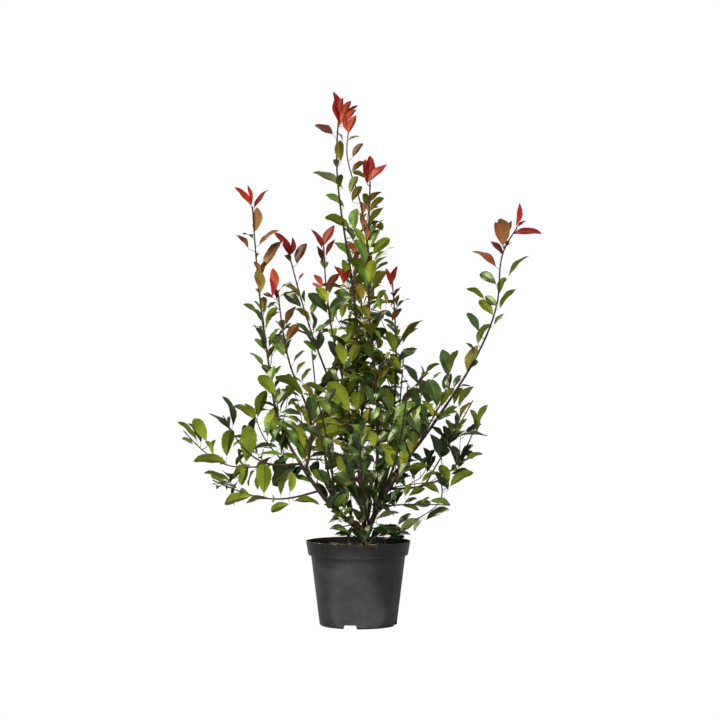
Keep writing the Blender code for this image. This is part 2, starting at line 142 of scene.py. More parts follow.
LIMBS = {
    # Stems that rise from the trunk's fork
    "leader_stem": Limb(
        "trunk", 1.0, ((-0.001, 0.020, 0.493), (-0.006, 0.030, 0.817), (-0.058, 0.038, 1.290)),
        (-0.046, 0.040, 1.430), 0.0072, 0.0020, 0.15, (0.060, 0.050), 0.62, "core"),
    "right_stem": Limb(
        "trunk", 1.0, ((0.040, -0.010, 0.285),),
        (0.064, -0.020, 0.366), 0.0080, 0.0062, 1.0, (), 1.0, "core"),
    "left_stem": Limb(
        "trunk", 1.0, ((-0.078, -0.030, 0.327),),
        (-0.154, -0.050, 0.434), 0.0068, 0.0045, 1.0, (), 1.0, "core"),
    # Tall stems of the middle
    "front_centre_stem": Limb(
        "right_stem", 0.42, ((0.052, -0.070, 0.549), (0.028, -0.100, 0.865)),
        (0.034, -0.120, 1.236), 0.0055, 0.0020, 0.16, (0.052, 0.046), 0.66, "core"),
    "front_centre_side_shoot": Limb(
        "front_centre_stem", 0.74, ((0.007, -0.100, 1.114), (-0.030, -0.060, 1.264)),
        (-0.019, -0.050, 1.353), 0.0025, 0.0015, 0.0, (0.026,), 0.2, "core"),
    "left_centre_stem": Limb(
        "leader_stem", 0.12, ((-0.030, -0.035, 0.601), (-0.080, -0.055, 0.851)),
        (-0.093, -0.060, 1.066), 0.0045, 0.0018, 0.12, (0.044,), 0.68, "core"),
    "left_back_stem": Limb(
        "leader_stem", 0.18, ((-0.040, 0.070, 0.560), (-0.130, 0.120, 0.790)),
        (-0.205, 0.140, 1.060), 0.0045, 0.0018, 0.14, (0.046,), 0.60, "core"),
    "right_centre_stem": Limb(
        "right_stem", 0.97, ((0.094, 0.040, 0.547), (0.103, 0.080, 0.729)),
        (0.090, 0.100, 0.962), 0.0042, 0.0018, 0.17, (0.050,), 0.72, "core"),
    # Left side
    "far_left_stem": Limb(
        "left_stem", 0.96, ((-0.204, 0.000, 0.521), (-0.248, 0.050, 0.736)),
        (-0.292, 0.080, 1.180), 0.0042, 0.0018, 0.14, (0.052, 0.042), 0.46, "low_left"),
    "near_left_stem": Limb(
        "left_stem", 0.90, ((-0.123, -0.120, 0.537), (-0.180, -0.150, 0.704)),
        (-0.213, -0.160, 0.940), 0.0040, 0.0018, 0.0, (0.060, 0.036), 0.60, "low_left"),
    "low_left_bough": Limb(
        "left_stem", 0.99, ((-0.244, -0.060, 0.435),),
        (-0.375, -0.080, 0.600), 0.0032, 0.0015, 0.24, (0.040,), 0.35, "low_left"),
    "outer_left_spray": Limb(
        "low_left_bough", 0.23, ((-0.350, -0.020, 0.428),),
        (-0.480, 0.020, 0.530), 0.0022, 0.0014, 0.0, (0.036,), 0.3, "low_left"),
    "inner_left_spray": Limb(
        "low_left_bough", 0.12, ((-0.258, 0.010, 0.510),),
        (-0.292, 0.060, 0.612), 0.0022, 0.0014, 0.0, (0.042,), 0.5, "low_left"),
    "lowest_left_bough": Limb(
        "left_stem", 0.66, ((-0.219, -0.100, 0.342),),
        (-0.397, -0.140, 0.402), 0.0030, 0.0015, 0.30, (0.034,), 0.3, "low_left"),
    # Right side
    "far_right_stem": Limb(
        "right_stem", 0.99, ((0.202, -0.030, 0.540), (0.368, -0.050, 0.854), (0.387, -0.055, 0.999)),
        (0.460, -0.060, 1.104), 0.0052, 0.0018, 0.31, (0.050,), 0.36, "low_right"),
    "right_bough": Limb(
        "right_stem", 0.66, ((0.129, -0.080, 0.438),),
        (0.217, -0.120, 0.594), 0.0044, 0.0020, 0.30, (0.056,), 0.8, "low_right"),
    "inner_right_spray": Limb(
        "right_bough", 0.27, ((0.159, -0.020, 0.548),),
        (0.171, 0.000, 0.708), 0.0024, 0.0015, 0.0, (0.046,), 0.75, "low_right"),
    "low_right_bough": Limb(
        "right_stem", 0.98, ((0.221, 0.040, 0.387),),
        (0.340, 0.090, 0.585), 0.0036, 0.0016, 0.44, (0.042,), 0.6, "low_right"),
    "low_right_spray": Limb(
        "low_right_bough", 0.30, ((0.241, 0.000, 0.481),),
        (0.305, -0.040, 0.600), 0.0022, 0.0014, 0.0, (0.038,), 0.6, "low_right"),
    "low_right_drooping_spray": Limb(
        "low_right_bough", 0.42, ((0.222, 0.000, 0.338),),
        (0.117, -0.030, 0.268), 0.0018, 0.0012, 0.0, (0.016,), 0.1, "low_right"),
    "lowest_right_spray": Limb(
        "right_stem", 0.60, ((0.121, -0.060, 0.325),),
        (0.240, -0.120, 0.327), 0.0022, 0.0014, 0.32, (0.024,), 0.3, "low_right"),
    # Back and front
    "tall_back_stem": Limb(
        "leader_stem", 0.14, ((0.010, 0.160, 0.545), (0.014, 0.260, 0.760)),
        (-0.001, 0.330, 1.005), 0.0050, 0.0020, 0.26, (0.050, 0.044), 1.0, "core"),
    "back_left_bough": Limb(
        "left_stem", 0.36, ((-0.101, 0.200, 0.488),),
        (-0.132, 0.300, 0.740), 0.0042, 0.0018, 0.34, (0.058,), 1.0, "core"),
    "back_right_bough": Limb(
        "right_stem", 0.55, ((0.102, 0.180, 0.489),),
        (0.130, 0.300, 0.745), 0.0042, 0.0018, 0.34, (0.058,), 1.0, "core"),
    "low_back_bough": Limb(
        "leader_stem", 0.07, ((-0.018, 0.240, 0.403),),
        (-0.038, 0.385, 0.520), 0.0036, 0.0016, 0.36, (0.046,), 1.0, "core"),
    "front_left_bough": Limb(
        "left_stem", 0.44, ((-0.072, -0.200, 0.461),),
        (-0.101, -0.300, 0.600), 0.0040, 0.0018, 0.34, (0.052,), 1.0, "core"),
    "front_right_bough": Limb(
        "right_stem", 0.78, ((0.103, -0.190, 0.473),),
        (0.126, -0.290, 0.640), 0.0040, 0.0018, 0.34, (0.052,), 1.0, "core"),
    "low_front_bough": Limb(
        "right_stem", 0.16, ((0.010, -0.220, 0.398),),
        (0.005, -0.370, 0.510), 0.0036, 0.0016, 0.36, (0.046,), 1.0, "core"),
    # Leaves about the foot
    "foot_right_spray": Limb(
        "right_stem", 0.10, ((0.070, -0.020, 0.262),),
        (0.128, -0.040, 0.258), 0.0020, 0.0014, 0.0, (0.019,), 1.0, "foot"),
    "foot_left_spray": Limb(
        "left_stem", 0.16, ((-0.030, -0.050, 0.268),),
        (-0.075, -0.075, 0.262), 0.0020, 0.0014, 0.0, (0.018,), 1.0, "foot"),
}

# Leaf colours: upper side, underside, midrib
TINTS = {
    # The darkest tint is near-black green, painted shade for leaves inside the crown and about the foot
    "deep": ((0.006, 0.016, 0.004), (0.032, 0.048, 0.007), (0.028, 0.048, 0.011)),
    "dark": ((0.016, 0.040, 0.007), (0.078, 0.102, 0.011), (0.060, 0.086, 0.018)),
    "mid": ((0.050, 0.098, 0.010), (0.120, 0.158, 0.012), (0.120, 0.155, 0.024)),
    "fresh": ((0.092, 0.150, 0.012), (0.180, 0.222, 0.017), (0.200, 0.235, 0.032)),
    # The brightest yellow-green tint is leaf colour brightened by painted glow, in place of light
    # shining through the blade
    "lime": ((0.130, 0.184, 0.013), (0.205, 0.244, 0.018), (0.265, 0.290, 0.040)),
    "pale": ((0.220, 0.250, 0.080), (0.330, 0.360, 0.130), (0.400, 0.400, 0.160)),
    "olive": ((0.085, 0.074, 0.012), (0.175, 0.142, 0.018), (0.160, 0.100, 0.024)),
    "bronze": ((0.105, 0.044, 0.014), (0.205, 0.088, 0.026), (0.190, 0.080, 0.030)),
    "copper": ((0.125, 0.034, 0.016), (0.240, 0.076, 0.030), (0.210, 0.060, 0.030)),
    "scarlet": ((0.165, 0.008, 0.008), (0.420, 0.022, 0.015), (0.360, 0.040, 0.022)),
    "salmon": ((0.330, 0.042, 0.024), (0.500, 0.078, 0.040), (0.460, 0.080, 0.046)),
    "crimson": ((0.120, 0.006, 0.006), (0.270, 0.012, 0.011), (0.240, 0.022, 0.018)),
    "maroon": ((0.048, 0.009, 0.009), (0.085, 0.018, 0.014), (0.110, 0.026, 0.020)),
}
RED_TINTS = ("copper", "scarlet", "salmon", "crimson", "maroon")
YOUNG_TINTS = ("scarlet", "salmon", "crimson")
MATT_TINTS = (*RED_TINTS, "olive", "bronze", "pale")

# How the tints are dealt out to the sprays of a region. The darkest tint, which is painted shade, is
# dealt most about the foot and on the lower right
UPPER_FROM = 0.80
RECIPES = {
    "upper": (
        ("olive", 22), ("bronze", 12), ("dark", 26), ("mid", 22), ("fresh", 12), ("copper", 3),
        ("maroon", 3),
    ),
    "core": (("deep", 25), ("dark", 24), ("mid", 25), ("fresh", 13), ("lime", 8), ("olive", 5)),
    "low_left": (("deep", 26), ("dark", 24), ("mid", 24), ("fresh", 18), ("lime", 8)),
    "low_right": (("deep", 34), ("dark", 24), ("mid", 18), ("fresh", 14), ("lime", 7), ("olive", 3)),
    "foot": (("deep", 60), ("dark", 30), ("mid", 10)),
}

# Where sky shows in the picture, so no leaf of the growth rule may: left, top, right and lower edge
# of each gap. Three shares of a leaf's length are looked up in it
SKY_TESTED_AT = (0.3, 0.65, 1.0)
SKY = (
    # Beside the plant
    (100, 80, 246, 180), (100, 260, 246, 394), (100, 488, 222, 545), (225, 513, 292, 545),
    (268, 80, 308, 226), (396, 80, 470, 262), (404, 262, 464, 318), (545, 80, 700, 545),
    (494, 332, 700, 545), (488, 480, 700, 545), (452, 488, 500, 545), (426, 517, 500, 545),
    # Between the stems
    (424, 316, 464, 346), (404, 346, 440, 360), (455, 352, 464, 382), (398, 376, 407, 396),
    (300, 312, 309, 328), (300, 346, 313, 362), (301, 384, 306, 400), (322, 345, 331, 368),
    # Under the boughs
    (292, 506, 329, 537), (296, 486, 314, 499), (376, 510, 398, 523), (371, 446, 380, 461),
    (402, 531, 470, 570), (330, 444, 343, 452), (253, 418, 267, 440), (399, 318, 424, 345),
    (474, 380, 494, 402), (472, 434, 490, 446), (328, 250, 338, 272), (336, 228, 348, 260),
    (328, 198, 345, 214), (408, 360, 420, 368), (322, 462, 333, 476),
    (383, 339, 389, 350), (423, 426, 431, 438), (422, 441, 428, 449),
    (450, 437, 474, 447), (474, 457, 494, 486), (459, 418, 468, 428), (479, 352, 494, 366),
    (405, 372, 415, 384), (303, 366, 318, 380), (246, 364, 258, 380), (285, 351, 298, 367),
    (290, 335, 309, 346),
)

# Thin twigs that show singly: the columns and rows of their two ends. Their middle and their end
# stand this far in front of their foot
SHOWN_TWIGS = (
    (377, 507, 356, 480), (352, 514, 350, 486), (345, 485, 304, 465), (350, 478, 367, 469),
    (377, 502, 420, 478), (385, 485, 443, 481), (441, 403, 449, 378),
)
SHOWN_TWIG_FORWARD = (0.025, 0.035)

# A grown leaf is left out where it would hide a placed one: where one of two places on its blade
# shows within so many pixels of the placed leaf's middle, and no more than so many metres behind it
CLEARANCE = 8.0
CLEARANCE_BEHIND = 0.010
CLEARANCE_AT = (0.4, 0.8)

# A placed leaf's foot shows this many rows under its base. If that is further from its limb than
# STALK_REACH pixels, the leaf sits on whatever limb is nearest, where a metre in depth counts as
# DEPTH_WEIGHT pixels. One further off than TWIG_FROM metres gets a twig
STALK_RISE = 4.0
STALK_REACH = 9.0
DEPTH_WEIGHT = 70.0
TWIG_FROM = 0.026
# How far the leaves of these limbs, and the brightest of the middle, stand before their stems,
# where -Y is towards the camera
FORWARD = {
    "left_stem": -0.030, "right_stem": -0.034, "front_left_bough": -0.018, "front_right_bough": -0.018,
}
LIME_FORWARD = 0.030
# How far a placed leaf stands from that depth, how far its tip leans out of the picture's plane as
# a share of its length there, and its curl in radians
DEPTH_SPREAD = 0.012
TIP_LEAN = (0.15, 0.5)
PLACED_CURL = (0.35, 0.85)
PLACED_FOLD = 0.25
# A blade's upper side faces up, or towards its stem where it faces this near to level
NEARLY_LEVEL = 0.15

# Leaf shape, in metres and radians
BLADE_ROWS = 14
BLADE_ACROSS = (-1.0, -0.80, -0.45, -0.055, 0.0, 0.055, 0.45, 0.80, 1.0)
BLADE_LENGTH = (0.058, 0.077)
BLADE_RATIO = 0.46
PLACED_RATIO = 0.48
YOUNG_RATIO = 0.36
BLADE_THICKNESS = 0.0005
RIB_DEPTH = 0.0006
TOOTH = 0.035
VEIN_PAIRS = 6
VEIN_DEPTH = 0.0006
# Powers by which a blade widens from its base and narrows to its tip, and what a young one adds
WIDENING = (0.98, 0.10)
NARROWING = (0.62, 0.38)
# Waves of the blade's edges: how many, their depth for its half width, and how far the sides differ
EDGE_WAVES = 1.6
EDGE_WAVE_DEPTH = 0.10
EDGE_WAVE_SHIFT = 2.0
# How far a leaf may reach past the solids' own box
OVERHANG = 0.030
STALK_RADII = (0.00092, 0.0006)
STALK_SIDES = 5
STALK_RINGS = 7
STALK_SHARE = (0.16, 0.28)

# Thick and thin radius of each kind of twig
PLACED_TWIG = (0.0012, 0.0008)
SHOWN_TWIG = (0.0016, 0.0011)
GROWN_TWIG = (0.0013, 0.0008)
TWIG_RINGS = 9
TWIG_SIDES = 6

# Growth of leaves: distances in metres, leans in degrees, turns in radians
NODE_TURN = math.radians(144)
TURN_SPREAD = 0.3
SPACING_SPREAD = (0.75, 1.25)
GROWN_CURL = (0.3, 1.0)
GROWN_FOLD = 0.32
LEAF_SPACING = {"core": 0.0105, "low_left": 0.016, "low_right": 0.0125, "foot": 0.012}
TWIG_LEAF_SPACING = 0.018
OPEN_LEAF_SPACING = 0.055
STEM_LEAF_LEAN = (24, 60)
TWIG_LEAF_LEAN = (28, 60)
OPEN_LEAF_LEAN = (26, 50)
FOOT_LEAF_SIZE = 0.7
OPEN_LEAF_SIZE = 0.66
TWIG_LEAF_SIZE = 0.95
# Leaves on the open parts keep this share of their reach sideways, so as not to close the gaps
OPEN_SQUEEZE = 0.2
# How often a leaf has the main tint of its spray
MAIN_TINT_CHANCE = 0.4
# From this share of a shoot on, leaves get smaller and lean less, by up to YOUNG_LESS
YOUNG_FROM = 0.8
YOUNG_LESS = 0.3
# Blade length and count of the leaves that close round the end of a shoot
NEW_ROSETTE = (0.055, 6)
PLAIN_ROSETTE = (0.030, 3)
TWIG_ROSETTE = (0.048, 3)
ROSETTE_LEAN = (0.25, 0.75)
ROSETTE_SIZE = (0.55, 1.0)
PLAIN_ROSETTE_TINTS = ("mid", "olive", "fresh")

# Growth of twigs: lean in degrees, steps from twig to twig in leaf spacings, least length, and
# length in half widths of the leafy mass. Leaves stand between two shares of the twig
TWIG_LEAN = (26, 48)
TWIG_STEPS = (4.0, 5.5)
TWIG_LEAST = 0.06
TWIG_REACH = (1.3, 2.1)
TWIG_LEAFY = (0.25, 0.97)
LAST_TWIG_AT = 0.92

# Bark: rings this far apart, swellings at nodes this far apart, and the depth of its ridges
RING_SPACING = 0.0045
NODE_SPACING = 0.026
MAIN_STEM_SIDES = 14
BOUGH_SIDES = 9
MAIN_STEM_RIDGES = 0.035
BOUGH_RIDGES = 0.022
TRUNK_RINGS = 22
TRUNK_SIDES = 36
TRUNK_RIDGES = 0.03
TRUNK_FLUTES = 0.12
# Old bark gives way to young just above this height, and young bark to shoots at this share
YOUNG_BARK_FROM = 0.42
YOUNG_BARK_OVER = 0.25
SHOOT_BARK_FROM = 0.86

UP = np.array([0.0, 0.0, 1.0])
RIGHT = np.array([1.0, 0.0, 0.0])
TOWARD = np.array([0.0, -1.0, 0.0])


def seen_at(column, row, depth):
    """The point at this depth that shows at this place in the picture."""
    scale = (CAMERA_DISTANCE + depth) / FOCAL_PIXELS
    return np.array(
        [CAMERA_X + (column - MIDDLE) * scale, depth, CAMERA_HEIGHT + (HORIZON_ROW - row) * scale]
    )


def in_the_sky(point):
    """Whether this point shows where the photograph has no leaves."""
    column, row = picture_places(point[None, :])[0]
    return any(left < column < right and top < row < low for left, top, right, low in SKY)


def past_the_box(point, overhang):
    """Whether this point lies outside the solids' own box by more than the overhang."""
    low, high = np.array(cad_box)
    return bool(np.any(point < low - overhang) or np.any(point > high + overhang))


def picture_places(points):
    """The columns and rows at which these points show in the picture."""
    scale = FOCAL_PIXELS / (CAMERA_DISTANCE + points[:, 1])
    columns = MIDDLE + (points[:, 0] - CAMERA_X) * scale
    rows = HORIZON_ROW - (points[:, 2] - CAMERA_HEIGHT) * scale
    return np.column_stack([columns, rows])


def unit(vector):
    return vector / np.linalg.norm(vector)


# Routes, as in the solids


def smooth_route(knots):
    """Evenly spaced points along one smooth curve through the knots."""
    knots = np.array(knots, float)
    if len(knots) == 2:
        knots = np.array([knots[0], knots.mean(axis=0), knots[1]])
    steps = np.linalg.norm(np.diff(knots, axis=0), axis=1)
    slopes = np.diff(knots, axis=0) / steps[:, None]
    inner = (slopes[:-1] * steps[1:, None] + slopes[1:] * steps[:-1, None]) / (
        steps[1:] + steps[:-1]
    )[:, None]
    first = 1.5 * slopes[0] - 0.5 * inner[0]
    last = 1.5 * slopes[-1] - 0.5 * inner[-1]
    tangents = np.vstack([first, inner, last])
    curve = [
        hermite(knots[i], knots[i + 1], tangents[i] * step, tangents[i + 1] * step, share)
        for i, step in enumerate(steps)
        for share in np.linspace(0, 1, ROUTE_POINTS, endpoint=False)
    ]
    return resampled(np.array(curve + [knots[-1]]), ROUTE_POINTS)


def hermite(start, end, leaving, arriving, share):
    """The point at this share of a curve with these ends, and these slopes there."""
    square, cube = share**2, share**3
    return (
        (2 * cube - 3 * square + 1) * start
        + (cube - 2 * square + share) * leaving
        + (3 * square - 2 * cube) * end
        + (cube - square) * arriving
    )


def hermite_curve(start, end, leaving, arriving, count):
    shares = np.linspace(0, 1, count)
    return np.array([hermite(start, end, leaving, arriving, share) for share in shares])


def resampled(points, count):
    """The same path, as count points evenly spaced along it."""
    walked = np.concatenate([[0.0], np.cumsum(np.linalg.norm(np.diff(points, axis=0), axis=1))])
    wanted = np.linspace(0, walked[-1], count)
    return np.column_stack([np.interp(wanted, walked, points[:, axis]) for axis in range(3)])


def stretch(route, start, end, count):
    """The route between two shares of its length, as count points."""
    shares = np.linspace(0, 1, len(route))
    wanted = np.linspace(start, end, count)
    return np.column_stack([np.interp(wanted, shares, route[:, axis]) for axis in range(3)])


def place_on(route, share):
    return stretch(route, share, share, 1)[0]


def heading(route, share):
    ends = stretch(route, max(share - 0.02, 0.0), min(share + 0.02, 1.0), 2)
    return unit(ends[1] - ends[0])


def route_length(route):
    return float(np.linalg.norm(np.diff(route, axis=0), axis=1).sum())


def directions_across(points):
    """At each point, two directions across the route, which turn as little as they can."""
    tangents = np.gradient(points, axis=0)
    tangents /= np.linalg.norm(tangents, axis=1)[:, None]
    reference = (0.0, 1.0, 0.0) if abs(tangents[0][1]) < 0.8 else (1.0, 0.0, 0.0)
    side = np.cross(tangents[0], reference)
    found = []
    for tangent in tangents:
        side = side - tangent * side.dot(tangent)
        side /= np.linalg.norm(side)
        found.append((side, np.cross(tangent, side)))
    return found


# Materials


def shader_of(material):
    return material.node_tree.nodes["Principled BSDF"]


def link(owner, source, target):
    owner.node_tree.links.new(source, target)


def node(owner, kind, inputs=None, **settings):
    """A new node in the tree of a material or a world."""
    made = owner.node_tree.nodes.new(kind)
    for name, value in settings.items():
        setattr(made, name, value)
    for name, value in (inputs or {}).items():
        made.inputs[name].default_value = value
    return made


def noise(material, scale, detail=3.0, roughness=0.6, stretch_by=(1.0, 1.0, 1.0)):
    """Noise in object space, drawn out along an axis by a scale below one."""
    where = node(material, "ShaderNodeTexCoord")
    mapping = node(material, "ShaderNodeMapping", {"Scale": stretch_by})
    settings = {"Scale": scale, "Detail": detail, "Roughness": roughness}
    texture = node(material, "ShaderNodeTexNoise", settings)
    link(material, where.outputs["Object"], mapping.inputs["Vector"])
    link(material, mapping.outputs["Vector"], texture.inputs["Vector"])
    return texture.outputs["Fac"]


def ramp(material, source, low, high, colours):
    """Two colours mixed by a source, between its low and high values."""
    made = node(material, "ShaderNodeValToRGB")
    for stop, position, colour in zip(made.color_ramp.elements, (low, high), colours):
        stop.position = position
        stop.color = (*colour, 1.0)
    link(material, source, made.inputs["Fac"])
    return made.outputs["Color"]


def mapped(material, source, low, high):
    made = node(material, "ShaderNodeMapRange", {"To Min": low, "To Max": high})
    link(material, source, made.inputs["Value"])
    return made.outputs["Result"]


def bump(material, source, strength, distance, below=None):
    """A bump, on top of another one if there is one below."""
    made = node(material, "ShaderNodeBump", {"Strength": strength, "Distance": distance})
    link(material, source, made.inputs["Height"])
    if below:
        link(material, below, made.inputs["Normal"])
    return made.outputs["Normal"]


def new_material(name, colour, roughness):
    material = bpy.data.materials.new(name)
    material.use_nodes = True
    shader = shader_of(material)
    shader.inputs["Base Color"].default_value = (*colour, 1.0)
    shader.inputs["Roughness"].default_value = roughness
    material.diffuse_color = (*colour, 1.0)
    return material


def wire(material, **sources):
    """Links each source to the shader's input of that name, such as base_color."""
    inputs = shader_of(material).inputs
    for name, source in sources.items():
        link(material, source, inputs[name.replace("_", " ").title()])
    return material


def blotched(colour, by):
    """A darker and a lighter neighbour of one colour."""
    return tuple(c * (1 - by) for c in colour), tuple(c * (1 + by) for c in colour)


def leaf_material(name, colour, roughness, specular, blotch):
    """Waxy and a little yellow in its gloss."""
    material = new_material(name, colour, roughness)
    shader = shader_of(material)
    shader.inputs["Specular Tint"].default_value = (0.96, 1.0, 0.62, 1.0)
    shader.inputs["Specular IOR Level"].default_value = specular
    colours = ramp(material, noise(material, 60.0, 2.0), 0.3, 0.7, blotched(colour, blotch))
    fine = bump(material, noise(material, 420.0, 2.0), 0.25, 0.0004)
    return wire(material, base_color=colours, normal=fine)


def leaf_materials(tint):
    upper, under, rib = TINTS[tint]
    gloss = 0.2 if tint in MATT_TINTS else 0.6
    return (
        leaf_material(f"{tint}_upper_side", upper, 0.31, gloss, 0.16),
        leaf_material(f"{tint}_underside", under, 0.60, 0.15, 0.10),
        leaf_material(f"{tint}_midrib", rib, 0.45, 0.35, 0.08),
    )


def bark_material(name, dark, light, roughness, scale):
    """Grain drawn out along Z, from dark to light. Green stalks and straws have it too."""
    material = new_material(name, dark, roughness)
    shader_of(material).inputs["Specular IOR Level"].default_value = 0.25
    grain = noise(material, scale, 6.0, 0.65, (1.0, 1.0, 0.28))
    fine = bump(material, noise(material, scale * 5, 4.0, 0.6, (1.0, 1.0, 0.3)), 0.4, 0.0006)
    return wire(
        material,
        base_color=ramp(material, grain, 0.35, 0.68, (dark, light)),
        roughness=mapped(material, grain, roughness + 0.1, roughness - 0.1),
        normal=bump(material, grain, 0.5, 0.001, fine),
    )


# Joined meshes


def linked(name, data):
    """A new object of this data, in the scene."""
    made = bpy.data.objects.new(name, data)
    bpy.context.scene.collection.objects.link(made)
    return made


class Pile:
    """Faces of one kind, gathered to be joined into one mesh."""

    def __init__(self):
        self.points, self.faces, self.slots, self.count = [], [], [], 0

    def add(self, points, faces, slots):
        self.points.append(points)
        self.faces.extend(tuple(corner + self.count for corner in face) for face in faces)
        self.slots.extend(slots)
        self.count += len(points)

    def joined(self, name, materials, record_slot, sharp_deg=60.0):
        mesh = bpy.data.meshes.new(name)
        mesh.from_pydata(np.vstack(self.points), [], self.faces)
        for material in materials:
            mesh.materials.append(material)
        mesh.polygons.foreach_set("material_index", self.slots)
        mesh.shade_smooth()
        mesh.set_sharp_from_angle(angle=math.radians(sharp_deg))
        mesh.update()
        piece = linked(name, mesh)
        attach(piece, "root")
        return piece


def add_tube(pile, points, radii, sides, slots, relief=None):
    """A closed tube through the points. Relief gives each ring's share of its radius by angle."""
    turn = np.linspace(0, math.tau, sides, endpoint=False)
    across = directions_across(points)
    rings = []
    for index, (place, radius, (side, other)) in enumerate(zip(points, radii, across)):
        reach = radius * (relief(index, turn) if relief else np.ones(sides))
        rings.append(
            place + reach[:, None] * (np.cos(turn)[:, None] * side + np.sin(turn)[:, None] * other)
        )
    faces, face_slots = [tuple(reversed(range(sides)))], [slots[0]]
    for ring in range(len(points) - 1):
        for corner in range(sides):
            beside = (corner + 1) % sides
            below, above = ring * sides, (ring + 1) * sides
            faces.append((below + corner, below + beside, above + beside, above + corner))
            face_slots.append(slots[ring])
    last = (len(points) - 1) * sides
    faces.append(tuple(range(last, last + sides)))
    face_slots.append(slots[-1])
    pile.add(np.vstack(rings), faces, face_slots)


# Leaves

# base and tip side of the blade's middle line, which way its upper side faces, and its shape
Leaf = namedtuple("Leaf", "base along up length width fold curl twist phase young")


def blade_faces():
    """Corner numbers and slots of one blade: upper side, underside, midrib."""
    across = len(BLADE_ACROSS)
    rows = BLADE_ROWS + 1
    upper = np.arange(rows * across).reshape(rows, across)
    lower = upper.copy()
    inner = rows * across + np.arange((rows - 2) * (across - 2)).reshape(rows - 2, across - 2)
    lower[1:-1, 1:-1] = inner
    faces, slots = [], []
    middle = across // 2
    for row in range(rows - 1):
        for column in range(across - 1):
            rib = middle - 1 <= column <= middle
            # The last row is split the other way, or both sides would share a triangle
            leftward = (column < middle) != (row == rows - 2)
            for grid, slot, turned in ((upper, 0, False), (lower, 1, True)):
                a, b = grid[row, column], grid[row, column + 1]
                c, d = grid[row + 1, column + 1], grid[row + 1, column]
                halves = ((a, b, c), (a, c, d)) if leftward else ((a, b, d), (b, c, d))
                faces += [half[::-1] if turned else half for half in halves]
                slots += [2 if rib else slot] * 2
    return faces, slots


def blade_points(leaves):
    """All corners of the leaves, leaf by leaf, in the order that blade_faces numbers them."""
    rows = np.arange(BLADE_ROWS + 1)
    share = (rows / BLADE_ROWS)[None, :, None]
    across = np.array(BLADE_ACROSS)[None, None, :]

    def column(name):
        return np.array([getattr(leaf, name) for leaf in leaves], float)[:, None, None]

    def vectors(name):
        return np.array([getattr(leaf, name) for leaf in leaves], float)[:, None, None, :]

    young = column("young")
    widening = WIDENING[0] + WIDENING[1] * young
    narrowing = NARROWING[0] + NARROWING[1] * young
    half = share**widening * (1 - share) ** narrowing
    half = 0.02 + 0.98 * half / half.max(axis=1, keepdims=True)
    half[:, 1:-1] *= 1 + TOOTH * (-1.0) ** rows[None, 1:-1, None]
    length, width = column("length"), column("width")
    side = across * half * width / 2
    lift = np.abs(side) * np.tan(column("fold"))
    ripple = np.sin(math.tau * VEIN_PAIRS * (share - 0.3 * np.abs(across)))
    lift = lift + VEIN_DEPTH * ripple * 4 * np.abs(across) * (1 - np.abs(across))
    shift = (across > 0) * EDGE_WAVE_SHIFT
    wave = np.sin(math.tau * EDGE_WAVES * share + column("phase") + shift)
    lift = lift + EDGE_WAVE_DEPTH * wave * across**2 * half * width / 2
    turned = column("twist") * share
    level = side * np.cos(turned) - lift * np.sin(turned)
    raised = side * np.sin(turned) + lift * np.cos(turned)
    bend = column("curl") * share
    run = length * np.sin(bend) / column("curl")
    drop = length * (1 - np.cos(bend)) / column("curl")
    along, up = vectors("along"), vectors("up")
    sideways = np.cross(along, up)

    def layer(height):
        forward = (run + height * np.sin(bend))[..., None]
        upward = (height * np.cos(bend) - drop)[..., None]
        return vectors("base") + forward * along + level[..., None] * sideways + upward * up

    inside = 1 - across**2
    upper = layer(raised + BLADE_THICKNESS / 2 * inside)
    rib = RIB_DEPTH * (np.abs(across) < 0.01) * (1.1 - share)
    lower = layer(raised - BLADE_THICKNESS / 2 * inside - rib)[:, 1:-1, 1:-1]
    count = len(leaves)
    return np.concatenate([upper.reshape(count, -1, 3), lower.reshape(count, -1, 3)], axis=1)


